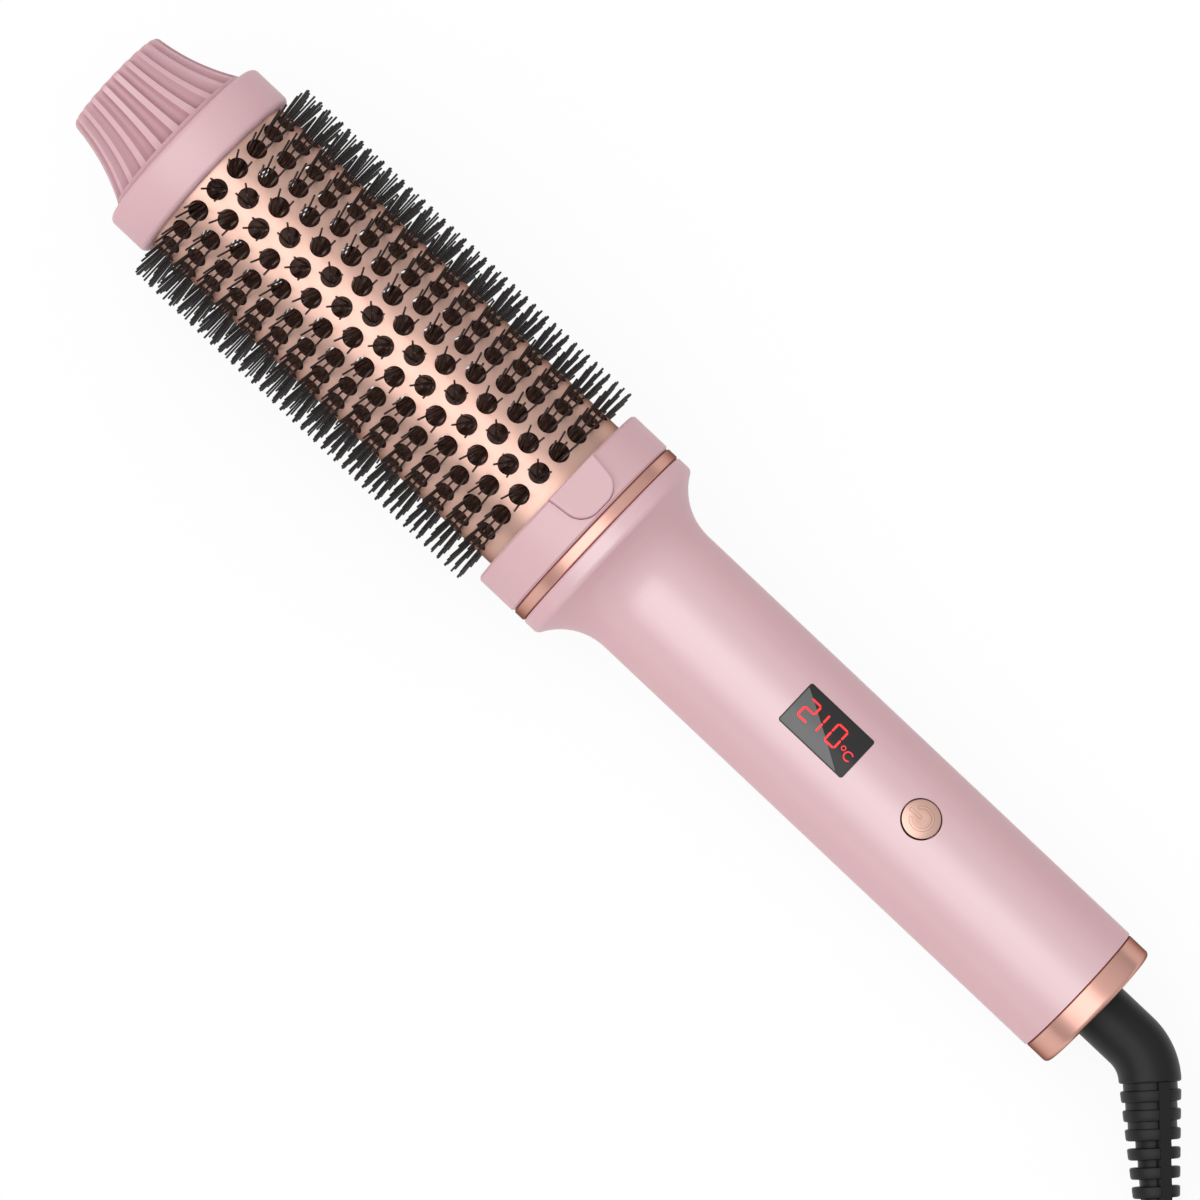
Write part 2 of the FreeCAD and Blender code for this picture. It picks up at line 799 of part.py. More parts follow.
def build_collar():
    """Collar with the thumb rest, its screws and the metal ring behind it."""
    seat = size.barrel_radius + size.seat_gap
    floor = x_tube_end + size.seat_gap
    chamfer = size.collar_chamfer
    collar = new_body("barrel_collar")
    turned(collar, [
        (x_collar, seat), (x_collar, size.collar_radius - chamfer),
        (x_collar + chamfer, size.collar_radius), (x_ring - chamfer, size.collar_radius),
        (x_ring, size.collar_radius - chamfer), (x_ring, size.collar_bore),
        (floor, size.collar_bore), (floor, seat),
    ])
    hole = drill_along(collar, floor - size.overrun, ZERO, -size.collar_screw_circle,
                       size.collar_screw_radius + size.seat_gap,
                       x_ring - floor + size.overrun * 2)
    around_axis(collar, hole, count.collar_screws)
    rest_floor = size.collar_radius - size.thumb_rest_seat
    seat_sketch = new_sketch(collar, "XY_Plane", rest_floor)
    seat_corners = thumb_outline(size.seat_gap)
    mouth = x_collar - size.overrun
    outline(seat_sketch, [
        (mouth, seat_corners[0][1]), *seat_corners, (mouth, seat_corners[-1][1]),
    ])
    pocket(collar, seat_sketch, size.thumb_rest_seat + size.overrun)
    keep("barrel_collar", collar)

    rest = new_body("thumb_rest")
    foot = rest_floor + size.bond_gap
    sketch = outline(new_sketch(rest, "XY_Plane", foot), thumb_outline(ZERO))
    pad(rest, sketch, size.collar_radius + size.thumb_rest_rise - foot)
    top = (size.collar_radius + size.thumb_rest_rise).value
    round_edges(rest, size.thumb_rest_round, lambda edge: edge.BoundBox.ZMin > top - size.bond_gap.value)
    keep("thumb_rest", rest)

    master = screw("collar_screw", size.collar_screw_radius, size.collar_screw_length,
                   size.collar_screw_head_radius, size.collar_screw_head_height)
    places = []
    for turn in collar_screw_places():
        side, rise = on_circle(size.collar_screw_circle, turn)
        places.append(Placement(Vector(floor.value, side.value, rise.value), Rotation()))
    copies_of("collar_screws", master, places)

    front = x_ring + size.ring_line
    back = x_shell - size.ring_line
    bevel = size.collar_ring_chamfer
    lathe("collar_ring", [
        (front, size.collar_ring_bore), (front, size.collar_ring_radius - bevel),
        (front + bevel, size.collar_ring_radius), (back - bevel, size.collar_ring_radius),
        (back, size.collar_ring_radius - bevel), (back, size.collar_ring_bore),
    ])


def half_shell(label, sign):
    """One half of the handle: spigot through the ring, rim, concave flare and straight grip."""
    left, right = ("left", "right") if sign > 0 else ("right", "left")
    nose = x_ring + size.seat_gap
    nose_end = x_shell + size.shell_nose
    spigot = size.collar_ring_bore - size.seat_gap
    chamfer = size.shell_rim_chamfer
    rim = size.shell_rim_radius
    corners = [
        (nose, size.collar_bore), (nose, spigot), (x_shell, spigot), (x_shell, rim - chamfer),
        (x_shell + chamfer, rim), (x_flare - size.shell_rim_run, rim, size.shell_rim_round, right),
        (x_flare, size.grip_radius + size.flare_rise, size.flare_radius, left),
        (x_grip, size.grip_radius), (x_end_ring, size.grip_radius), (x_end_ring, shell_inner),
        (nose_end, shell_inner), (nose_end, size.collar_bore),
    ]
    body = new_body(label)
    turned(body, [(corner[0], corner[1] * sign) + tuple(corner[2:]) for corner in corners], sweep=180.0)
    for turn in collar_screw_places():
        side, rise = on_circle(size.collar_screw_circle, turn)
        if rise.value * sign > 0:
            drill_along(body, nose - size.overrun, side, rise,
                        size.collar_screw_radius + size.bond_gap,
                        size.collar_screw_length + size.overrun)
    return keep(label, body)


def build_handle():
    """Two half shells; the upper one has the display window and the button hole."""
    front = half_shell("handle_front_shell", 1)
    half_length = size.display_length / 2 + size.bond_gap
    half_width = size.display_width / 2 + size.bond_gap
    window = outline(new_sketch(front, "XY_Plane"), rounded_rectangle(
        half_length, half_width, size.display_corner + size.bond_gap, x_display))
    pocket(front, window, size.grip_radius + size.overrun)
    hole = round_outline(new_sketch(front, "XY_Plane"), x_button, ZERO, size.button_hole_radius)
    pocket(front, hole, size.grip_radius + size.overrun)
    half_shell("handle_rear_shell", -1)


def build_display():
    """Curved window flush with the grip, and the digit module behind it."""
    x_from = x_display - size.display_length / 2
    x_to = x_display + size.display_length / 2
    half_width = size.display_width / 2
    slab = new_body("display_slab")
    sketch = new_sketch(slab, "XY_Plane", size.grip_radius - size.display_thickness)
    outline(sketch, rounded_rectangle(size.display_length / 2, half_width, size.display_corner, x_display))
    pad(slab, sketch, size.display_thickness + size.overrun)
    skin = new_body("display_skin")
    turned(skin, rectangle(x_from - size.overrun, x_to + size.overrun, ZERO, size.grip_radius))
    window = doc.addObject("Part::Common", "display_curved")
    window.Base = slab
    window.Tool = skin
    keep("display_window", window)

    margin = size.display_module_margin
    foot = board_top + size.bond_gap
    block("led_display", (x_from + margin, x_to - margin), (margin - half_width, half_width - margin),
          (foot, foot + size.display_module_height))


def build_button():
    """Domed power button with its plunger, above a small push switch."""
    crown = size.grip_radius + size.button_stand
    shoulder = crown - size.button_edge_drop
    flange_top = shell_inner - size.button_flange_drop
    flange_foot = flange_top - size.button_flange_height
    socket = size.plunger_radius + size.bond_gap
    socket_top = flange_foot + size.plunger_seat
    place = LYING.multiply(Placement(Vector(x_button.value, 0, 0), Rotation()))
    lathe("power_button", [
        (ZERO, crown), (size.button_flat_radius, crown, size.button_dome_radius, "right"),
        (size.button_radius, shoulder),
        (size.button_radius, flange_top), (size.button_flange_radius, flange_top),
        (size.button_flange_radius, flange_foot), (socket, flange_foot), (socket, socket_top),
        (ZERO, socket_top),
    ], place, "V_Axis")
    lathe("switch_plunger", rectangle(
        ZERO, size.plunger_radius, flange_foot - size.plunger_reach, socket_top - size.bond_gap,
    ), place, "V_Axis")

    half = size.switch_side / 2
    foot = board_top + size.bond_gap
    top = foot + size.switch_height
    switch = block("tact_switch", (x_button - half, x_button + half), (-half, half), (foot, top))
    nub = round_outline(new_sketch(switch, "XY_Plane", top), x_button, ZERO, size.switch_nub_radius)
    pad(switch, nub, size.switch_nub_height)


def board_screw_spots():
    """Places of the board screws: two at each end of the board."""
    inset = size.board_screw_inset
    spread = size.board_screw_spread
    return [(x, y) for x in (x_board + inset, x_board_end - inset) for y in (spread, -spread)]


def build_carrier():
    """Trough that lines the handle and carries the board on its edges, closed by two webs."""
    edge = size.board_height - size.seat_gap
    outer = fit_in_shell
    inner = fit_in_shell - size.carrier_wall
    middle = fit_in_shell - size.carrier_wall / 2
    x_from = x_board - size.carrier_overlap
    x_to = x_board_end + size.carrier_overlap
    half_outer = other_side(outer, edge)
    half_inner = other_side(inner, edge)
    half_middle = other_side(middle, edge)
    body = new_body("board_carrier")
    trough = outline(new_sketch(body, "YZ_Plane", x_from), [
        (half_outer, edge, outer, "right"), (ZERO, -outer, outer, "right"), (-half_outer, edge),
        (-half_inner, edge, inner, "left"), (ZERO, -inner, inner, "left"), (half_inner, edge),
    ])
    pad(body, trough, x_to - x_from)
    for x in (x_from, x_to - size.carrier_web):
        web = outline(new_sketch(body, "YZ_Plane", x), [
            (half_middle, edge, middle, "right"), (ZERO, -middle, middle, "right"), (-half_middle, edge),
        ])
        pad(body, web, size.carrier_web)
    drill_along(body, x_from - size.overrun, ZERO, -size.carrier_window_drop,
                size.carrier_window_radius, x_to - x_from + size.overrun * 2)
    for x, y in board_screw_spots():
        hole = new_sketch(body, "XY_Plane", edge - size.board_screw_length)
        pocket(body, round_outline(hole, x, y, size.board_screw_radius + size.bond_gap),
               size.board_screw_length + size.overrun)
    keep("board_carrier", body)


def build_board():
    """Control board with its screws and the power parts under it."""
    half = size.board_width / 2
    board = block("control_board", (x_board, x_board_end), (-half, half), (size.board_height, board_top))
    for x, y in board_screw_spots():
        hole = new_sketch(board, "XY_Plane", size.board_height - size.overrun)
        pocket(board, round_outline(hole, x, y, size.board_screw_radius + size.bond_gap),
               size.board_thickness + size.overrun * 2)
    master = screw("board_screw", size.board_screw_radius, size.board_screw_length,
                   size.board_screw_head_radius, size.board_screw_head_height)
    seat = (board_top + size.bond_gap).value
    down = Rotation(Vector(0, 1, 0), 90)
    places = [Placement(Vector(x.value, y.value, seat), down) for x, y in board_screw_spots()]
    copies_of("board_screws", master, places)

    under = size.board_height - size.bond_gap
    x_terminal = x_board + size.terminal_setback
    half = size.terminal_width / 2
    terminal = block("terminal_block", (x_terminal, x_terminal + size.terminal_length), (-half, half),
                     (under - size.terminal_height, under))
    lead_start = x_base_bush_end + size.seat_gap
    lead_end = x_terminal + size.terminal_length / 2
    wire = new_body("heater_lead")
    turned(wire, rectangle(ZERO, lead_end - lead_start, ZERO, size.lead_radius))
    places = []
    for y in (size.lead_spread, -size.lead_spread):
        drill_along(terminal, x_terminal - size.overrun, y, -size.carrier_window_drop,
                    size.lead_radius + size.bond_gap,
                    size.terminal_length / 2 + size.overrun + size.seat_gap)
        place = Vector(lead_start.value, y.value, -size.carrier_window_drop.value)
        places.append(Placement(place, Rotation()))
    copies_of("heater_leads", wire, places)

    x_capacitor = x_board + size.capacitor_setback
    half = size.capacitor_width / 2
    block("film_capacitor", (x_capacitor, x_capacitor + size.capacitor_length), (-half, half),
          (under - size.capacitor_height, under))
    x_triac = x_board + size.triac_setback
    half = size.triac_width / 2
    foot = under - size.triac_height
    triac = block("triac", (x_triac, x_triac + size.triac_length), (-half, half), (foot, under))
    tab = outline(new_sketch(triac, "XY_Plane", foot - size.triac_tab_height), rectangle(
        x_triac, x_triac + size.triac_length, half - size.triac_tab_thickness, half))
    pad(triac, tab, size.triac_tab_height)


def build_sensors():
    """Thermal fuse and temperature sensor behind the base bush."""
    start = x_base_bush_end + size.seat_gap
    place = Placement(Vector(start.value, -size.fuse_side_offset.value, -size.fuse_drop.value), Rotation())
    lathe("thermal_fuse", [
        (ZERO, ZERO), (ZERO, size.lead_radius), (size.fuse_length * FUSE_STUB_SHARE, size.lead_radius),
        (size.fuse_length * FUSE_STUB_SHARE, size.fuse_radius), (size.fuse_length, size.fuse_radius),
        (size.fuse_length, ZERO),
    ], LYING.multiply(place))
    half = size.sensor_width / 2
    top = tube_inner - size.seat_gap * 2
    block("temperature_sensor", (start, start + size.sensor_length), (-half, half),
          (top - size.sensor_thickness, top))


def build_end():
    """End ring, end plate and the fixed half of the cord swivel."""
    front = x_end_ring + size.ring_line
    plate_back = x_end - size.end_plate_recess
    plate_front = plate_back - size.end_plate_thickness
    bevel = size.end_ring_chamfer
    edge = size.end_ring_round
    lathe("end_ring", [
        (x_end_ring - size.end_ring_spigot, size.end_ring_bore),
        (x_end_ring - size.end_ring_spigot, fit_in_shell), (front, fit_in_shell),
        (front, size.end_ring_radius - bevel), (front + bevel, size.end_ring_radius),
        (x_end - edge, size.end_ring_radius, edge, "right"), (x_end, size.end_ring_radius - edge),
        (x_end, size.end_plate_radius), (plate_front - size.bond_gap, size.end_plate_radius),
        (plate_front - size.bond_gap, size.end_ring_bore),
    ])
    lathe("end_plate", rectangle(plate_front, plate_back, size.relief_radius + size.slide_gap,
                                 size.end_plate_radius - size.seat_gap))
    start = x_housing_end - size.housing_length
    wall = x_housing_end - size.housing_wall
    bearing = size.spindle_radius + size.slide_gap
    lathe("swivel_housing", [
        (start, size.housing_chamber_radius), (start, fit_in_shell), (x_housing_end, fit_in_shell),
        (x_housing_end, bearing), (wall, bearing), (wall, size.housing_chamber_radius),
    ])


def slip_ring_starts():
    first = x_flange - size.spindle_length + size.slide_gap
    return [first, first + size.slip_ring_width + size.slip_ring_gap]


def build_swivel():
    """Turning spindle with its slip rings and clip, and the leaves that touch the rings."""
    start = x_flange - size.spindle_length
    clip_end = x_housing_end - size.housing_wall - size.slide_gap
    clip_start = clip_end - size.clip_width
    groove = size.spindle_radius - size.spindle_groove_depth
    flange_end = x_flange + size.spindle_flange
    lathe("swivel_spindle", [
        (start, size.spindle_bore), (start, size.spindle_radius),
        (clip_start - size.bond_gap, size.spindle_radius), (clip_start - size.bond_gap, groove),
        (clip_end + size.bond_gap, groove), (clip_end + size.bond_gap, size.spindle_radius),
        (x_flange, size.spindle_radius), (x_flange, size.spindle_flange_radius),
        (flange_end, size.spindle_flange_radius), (flange_end, size.spindle_bore),
    ])
    lathe("swivel_clip", rectangle(clip_start, clip_end, groove + size.bond_gap, size.clip_radius))
    ring = new_body("slip_ring")
    ring_inner = size.spindle_radius + size.bond_gap
    ring_outer = ring_inner + size.slip_ring_thickness
    turned(ring, rectangle(ZERO, size.slip_ring_width, ring_inner, ring_outer))
    copies_of("slip_rings", ring,
              [Placement(Vector(x.value, 0, 0), Rotation()) for x in slip_ring_starts()])
    leaf = new_body("contact_leaf")
    half = size.leaf_thickness / 2
    foot = ring_outer + size.slide_gap
    margin = (size.slip_ring_width - size.leaf_width) / 2
    sketch = outline(new_sketch(leaf, "XY_Plane", foot),
                     rectangle(margin, margin + size.leaf_width, -half, half))
    pad(leaf, sketch, size.housing_chamber_radius - size.seat_gap - foot)
    copies_of("contact_leaves", leaf,
              [Placement(Vector(x.value, 0, 0), Rotation()) for x in slip_ring_starts()])


def relief_way():
    """Start and direction of the ribbed stretch, before the swivel's turn."""
    turn = math.radians(angle.relief_turn)
    bend = size.relief_elbow_radius.value
    start = Vector(x_elbow.value + bend * math.sin(turn), -bend * (1 - math.cos(turn)), 0)
    return start, Vector(math.cos(turn), -math.sin(turn), 0)


def relief_slots():
    """Ring slots that leave two spines, each as deep as the local wall allows."""
    start, way = relief_way()
    across = UP.cross(way)
    lean = math.radians(angle.relief_spine_turn)
    spine = UP * math.cos(lean) + across * math.sin(lean)
    frame = Rotation(spine, way.cross(spine), way, "ZXY")
    width = size.relief_slot_width.value
    reach = size.relief_radius.value + size.overrun.value
    narrowing = size.relief_end_radius.value - size.relief_radius.value
    slots = []
    for number in range(count.relief_ribs):
        along = size.relief_rib_start.value + size.relief_rib_pitch.value * number
        radius = size.relief_radius.value + narrowing * along / size.relief_ribbed_length.value
        ring = Part.makeCylinder(reach, width).cut(
            Part.makeCylinder(radius - size.relief_slot_depth.value, width))
        bar = Part.makeBox(2 * reach, size.relief_spine_width.value, width,
                           Vector(-reach, -size.relief_spine_width.value / 2, 0))
        slot = ring.cut(bar)
        slot.Placement = Placement(start + way * along, frame)
        slots.append(slot)
    return Part.makeCompound(slots)


RELIEF_FRAME = LYING.multiply(Placement(Vector(0, 0, 0), Rotation(AXIS, angle.relief_roll)))


def build_relief():
    """Rubber strain relief: straight neck, elbow and a tapering ribbed stretch."""
    start, way = relief_way()
    neck = doc.addObject("Part::Cylinder", "relief_neck")
    neck.setExpression("Radius", size.relief_radius.text)
    neck.setExpression("Height", (x_elbow - x_relief).text)
    neck.Placement = Placement(Vector(x_relief.value, 0, 0), Rotation(UP, AXIS))
    elbow = doc.addObject("Part::Torus", "relief_elbow")
    elbow.setExpression("Radius1", size.relief_elbow_radius.text)
    elbow.setExpression("Radius2", size.relief_radius.text)
    elbow.setExpression("Angle3", "Sizes.relief_turn")
    centre = Vector(x_elbow.value, -size.relief_elbow_radius.value, 0)
    elbow.Placement = Placement(centre, Rotation(Vector(0, 1, 0), AXIS, -UP, "XYZ"))
    taper = doc.addObject("Part::Cone", "relief_taper")
    taper.setExpression("Radius1", size.relief_radius.text)
    taper.setExpression("Radius2", size.relief_end_radius.text)
    taper.setExpression("Height", size.relief_ribbed_length.text)
    taper.Placement = Placement(start, Rotation(UP, way))
    whole = doc.addObject("Part::MultiFuse", "relief_whole")
    whole.Shapes = [neck, elbow, taper]
    slots = doc.addObject("Part::Feature", "relief_slots")
    slots.Shape = relief_slots()
    cut = doc.addObject("Part::Cut", "relief_cut")
    cut.Base = whole
    cut.Tool = slots
    keep("strain_relief", cut, RELIEF_FRAME)


def rounded_path(points):
    """Straight runs joined by tangent arcs, each as large as its two runs allow."""
    edges = []
    radii = []
    last = points[0]
    for before, corner, after in zip(points, points[1:], points[2:]):
        into = corner - before
        out = after - corner
        turn = into.getAngle(out)
        reach = RUN_SHARE * min(into.Length, out.Length)
        radii.append(reach / math.tan(turn / 2))
        into.normalize()
        out.normalize()
        first = corner - into * reach
        final = corner + out * reach
        inward = (out - into).normalize()
        middle = corner + inward * (radii[-1] / math.cos(turn / 2) - radii[-1])
        edges.append(Part.LineSegment(last, first).toShape())
        edges.append(Part.Arc(first, middle, final).toShape())
        last = final
    edges.append(Part.LineSegment(last, points[-1]).toShape())
    return Part.Wire(edges), radii


def cord_along(label, path, start, way):
    """Sweep the cord's round section along a path and compare its volume."""
    section = Part.Wire(Part.makeCircle(size.cord_radius.value, start, way))
    tube = path.makePipeShell([section], True, False)
    area = math.pi * size.cord_radius.value ** 2
    share = tube.Volume / (area * path.Length)
    print("%s: %.1f mm long, volume share %.4f" % (label, path.Length, share))
    feature_piece(label, tube, Placement())


def arc_middle(start, start_way, end):
    """Middle of the arc that leaves start along start_way and reaches end."""
    chord = end - start
    span = chord.Length
    lean = start_way.getAngle(chord)
    bow = (start_way - chord.normalize() * math.cos(lean)).normalize()
    return (start + end) / 2 + bow * (span / 2 * math.tan(lean / 2))


def biarc(start, start_way, end, end_way):
    """Two tangent arcs from one point and direction to another."""
    gap = end - start
    ways = start_way + end_way
    spread = 2 * (1 - start_way.dot(end_way))
    along = gap.dot(ways)
    reach = (math.sqrt(along * along + spread * gap.dot(gap)) - along) / spread
    joint = (start + end + (start_way - end_way) * reach) / 2
    first = Part.Arc(start, arc_middle(start, start_way, joint), joint)
    second = Part.Arc(joint, arc_middle(end, -end_way, joint), end)
    return first, second


def coil_spots(start, heading):
    """Points and directions of a flat coil: in on the lower layer, out again on the upper one."""
    outer = size.coil_inner_radius.value + size.coil_pitch.value * COIL_TURNS / 2
    inset = math.atan2(size.coil_pitch.value, 2 * math.pi * outer)
    first = math.atan2(heading.y, heading.x) - math.pi / 2 - inset
    centre = start - Vector(math.cos(first), math.sin(first), 0) * outer
    climb = size.coil_pitch.value
    spots = []
    for step in range(COIL_STEPS + 1):
        turns = COIL_TURNS * step / COIL_STEPS
        side = step - COIL_STEPS // 2
        radius = outer - size.coil_pitch.value * min(turns, COIL_TURNS - turns)
        rate = 0.0 if side == 0 else math.copysign(size.coil_pitch.value, side)
        turn = first + 2 * math.pi * turns
        out = Vector(math.cos(turn), math.sin(turn), 0)
        round_way = Vector(-math.sin(turn), math.cos(turn), 0)
        rise = climb * (0.0 if side < 0 else 0.5 if side == 0 else 1.0)
        climb_rate = CLIMB_RATE * climb * COIL_STEPS / COIL_TURNS / 2 if side == 0 else 0.0
        way = out * rate + round_way * (2 * math.pi * radius) + UP * climb_rate
        spots.append((centre + out * radius + UP * rise, way.normalize()))
    return centre, outer, first, spots


def least_gap(edges):
    """The least clear distance between turns, measured on points along the path."""
    spots = []
    travelled = 0.0
    for edge in edges:
        for number in range(GAP_SAMPLES_PER_ARC):
            share = number / GAP_SAMPLES_PER_ARC
            place = edge.valueAt(edge.FirstParameter + share * (edge.LastParameter - edge.FirstParameter))
            spots.append((travelled + share * edge.Length, place))
        travelled += edge.Length
    apart = NEIGHBOUR_DIAMETERS * 2 * size.cord_radius.value
    nearest = min(
        (place - other).Length
        for index, (length, place) in enumerate(spots)
        for other_length, other in spots[index + 1:]
        if other_length - length > apart
    )
    return nearest - 2 * size.cord_radius.value


def build_cord():
    """Cord from the strain relief to a tied coil past the brush, and on to the plug on top of it."""
    start, way = relief_way()
    exit_point = RELIEF_FRAME.multVec(start + way * size.relief_ribbed_length.value)
    exit_way = RELIEF_FRAME.Rotation.multVec(way)
    low = size.cord_radius.value + size.tie_thickness.value + size.tie_gap.value
    run = (exit_point.z - low) / -exit_way.z
    heading = Vector(exit_way.x, exit_way.y, 0).normalize()
    corner = exit_point + exit_way * run
    route = [exit_point, corner, corner + heading * size.level_run.value]
    path, radii = rounded_path(route)
    print("cord route", [tuple(round(v, 3) for v in point) for point in route])
    print("cord bend radii", [round(radius, 1) for radius in radii])
    cord_along("power_cord", path, exit_point, exit_way)

    lead = 2 * size.cord_radius.value
    coil_start = route[-1] + heading * lead
    centre, outer, first, spots = coil_spots(coil_start, heading)
    edges = [Part.LineSegment(route[-1], coil_start).toShape()]
    for (place, place_way), (following, following_way) in zip(spots, spots[1:]):
        edges += [arc.toShape() for arc in biarc(place, place_way, following, following_way)]
    last, last_way = spots[-1]
    coil_end = last + last_way * lead
    edges.append(Part.LineSegment(last, coil_end).toShape())
    print("coil centre", tuple(round(v, 3) for v in centre), "outer", round(outer, 3),
          "first turn", round(math.degrees(first), 4))
    print("least gap between turns %.2f mm" % least_gap(edges))
    cord_along("power_cord_coil", Part.Wire(Part.__sortEdges__(edges)), route[-1], heading)

    build_tie(centre, outer, first)
    rise = (size.cord_radius + size.plug_rest_gap + size.plug_thickness / 2).value
    tail = [coil_end]
    for number, climb in enumerate(TAIL_CLIMB_SHARES):
        run_way = Rotation(UP, angle.tail_turn * number).multVec(last_way)
        tail.append(tail[-1] + run_way * size.tail_run.value + UP * (rise * climb))
    path, radii = rounded_path(tail)
    print("tail route", [tuple(round(v, 3) for v in point) for point in tail])
    print("tail bend radii", [round(radius, 1) for radius in radii])
    cord_along("power_cord_tail", path, coil_end, last_way)
    print("plug way", tuple(round(v, 6) for v in run_way))
    build_plug(Placement(tail[-1], Rotation(AXIS, run_way)))


def build_tie(centre, outer, first):
    """Strap round one side of the coil."""
    half_width = size.coil_pitch * (COIL_TURNS / 4) + size.cord_radius + size.tie_gap
    half_height = size.coil_pitch / 2 + size.cord_radius + size.tie_gap
    body = new_body("cord_tie")
    around = rounded_rectangle(half_width + size.tie_thickness, half_height + size.tie_thickness,
                               size.tie_corner)
    pad(body, outline(new_sketch(body, "XZ_Plane"), around), size.tie_width, True)
    inside = outline(new_sketch(body, "XZ_Plane"), rounded_rectangle(
        half_width, half_height, size.tie_corner - size.tie_thickness))
    cut = pocket(body, inside, size.tie_width + size.overrun)
    cut.Midplane = True
    turn = first + 2 * math.pi * TIE_TURN_SHARE
    middle = outer - size.coil_pitch.value * COIL_TURNS / 4
    place = centre + Vector(math.cos(turn), math.sin(turn), 0) * middle
    place.z = half_height.value + size.tie_thickness.value
    keep("cord_tie", body, Placement(place, Rotation(UP, math.degrees(turn))))


def build_plug(place):
    """Flat two-pin plug lying on the coil."""
    front = size.plug_taper_length + size.plug_block_length
    body = new_body("plug_body")
    rear = outline(new_sketch(body, "YZ_Plane"), rounded_rectangle(
        size.plug_rear_width / 2, size.plug_rear_thickness / 2, size.plug_rear_corner))
    wide = outline(new_sketch(body, "YZ_Plane", size.plug_taper_length), rounded_rectangle(
        size.plug_width / 2, size.plug_thickness / 2, size.plug_corner))
    taper = body.newObject("PartDesign::AdditiveLoft", "plug_taper")
    taper.Profile = rear
    taper.Sections = [wide]
    taper.Ruled = True
    body.Tip = taper
    face = outline(new_sketch(body, "YZ_Plane", size.plug_taper_length), rounded_rectangle(
        size.plug_width / 2, size.plug_thickness / 2, size.plug_corner))
    pad(body, face, size.plug_block_length)
    half = size.pin_spacing / 2
    for y in (half, -half):
        drill_along(body, front - size.pin_root, y, ZERO, size.pin_neck_radius + size.bond_gap,
                    size.pin_root + size.overrun)
    keep("plug_body", body, place)

    pin = new_body("plug_pin")
    tip = size.pin_tip_round
    turned(pin, [
        (size.bond_gap - size.pin_root, ZERO), (size.bond_gap - size.pin_root, size.pin_neck_radius),
        (size.sleeve_length, size.pin_neck_radius), (size.sleeve_length, size.pin_radius),
        (size.pin_length - tip, size.pin_radius, tip, "right"),
        (size.pin_length, size.pin_radius - tip), (size.pin_length, ZERO),
    ])
    sleeve = new_body("pin_sleeve")
    turned(sleeve, rectangle(size.bond_gap, size.sleeve_length - size.bond_gap,
                             size.pin_neck_radius + size.bond_gap, size.sleeve_radius))
    spots = [Placement(Vector(front.value, y.value, 0), Rotation()) for y in (half, -half)]
    copies_of("plug_pins", pin, spots).Placement = place
    copies_of("plug_pin_sleeves", sleeve, spots).Placement = place


def write_parts():
    """Check every object, then write one file for each piece."""
    doc.recompute()
    for item in doc.Objects:
        if {"Invalid", "Error"} & set(item.State):
            raise RuntimeError("%s did not build: %s" % (item.Name, item.State))
    for label, item in pieces.items():
        if item.Shape.isNull() or not item.Shape.isValid():
            raise RuntimeError("%s has no valid shape" % label)
    os.makedirs("parts", exist_ok=True)
    for label, item in pieces.items():
        item.Shape.exportStep("parts/%s.step" % label)
    print("%d pieces written" % len(pieces))


def main():
    build_tip()
    build_barrel()
    build_bristles()
    build_collar()
    build_handle()
    build_display()
    build_button()
    build_carrier()
    build_board()
    build_sensors()
    build_end()
    build_swivel()
    build_relief()
    build_cord()
    write_parts()


main()
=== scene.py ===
# %% [markdown]
# # A heated hair styling brush
#
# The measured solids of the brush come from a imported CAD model.  This lesson dresses them: it
# sets the photographer's camera, lays the cord, models the visible pieces that need more than
# plain solids, and gives every piece a finish.  All lengths are in metres.

# %% Load the measured solids
import bmesh
import bpy
import json
import math
from mathutils import Matrix, Vector


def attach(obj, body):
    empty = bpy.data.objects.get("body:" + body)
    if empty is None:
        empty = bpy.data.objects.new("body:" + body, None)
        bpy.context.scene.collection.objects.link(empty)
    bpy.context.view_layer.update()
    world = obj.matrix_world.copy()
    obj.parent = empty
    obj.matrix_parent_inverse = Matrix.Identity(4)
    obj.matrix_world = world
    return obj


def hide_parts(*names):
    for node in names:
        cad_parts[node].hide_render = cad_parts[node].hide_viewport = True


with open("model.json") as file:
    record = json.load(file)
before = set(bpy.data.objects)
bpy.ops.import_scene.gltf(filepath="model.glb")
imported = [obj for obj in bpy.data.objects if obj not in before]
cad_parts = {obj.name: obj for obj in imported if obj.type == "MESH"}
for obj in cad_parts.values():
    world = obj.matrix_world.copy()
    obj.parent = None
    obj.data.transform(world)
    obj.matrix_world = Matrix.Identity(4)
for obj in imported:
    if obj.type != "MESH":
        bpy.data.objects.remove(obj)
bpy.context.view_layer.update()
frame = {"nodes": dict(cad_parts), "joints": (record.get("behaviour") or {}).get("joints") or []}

nodes = frame["nodes"]
MM = 0.001

# %% [markdown]
# ## The brush's own axes
#
# The brush lies on its bristles and its end ring, so it leans a little.  Most pieces are easier
# to model straight, with x from the tip to the cord end and z on the side of the display.  The
# cord's swivel turns about the brush's axis, so that joint tells us where the axis is.

# %% Matrix from the straight brush to the lying one
SWIVEL_STATION = 264.25 * MM
swivel = next(joint for joint in frame["joints"] if joint["name"] == "cord_swivel_turn")
along = Vector(swivel["axis"]).normalized()
across = Vector((0, 1, 0))
upward = along.cross(across)
LYING = Matrix((along, across, upward)).transposed().to_4x4()
LYING.translation = Vector(swivel["pos_m"]) - along * SWIVEL_STATION
print("brush leans", round(math.degrees(math.asin(-along.z)), 2), "degrees")

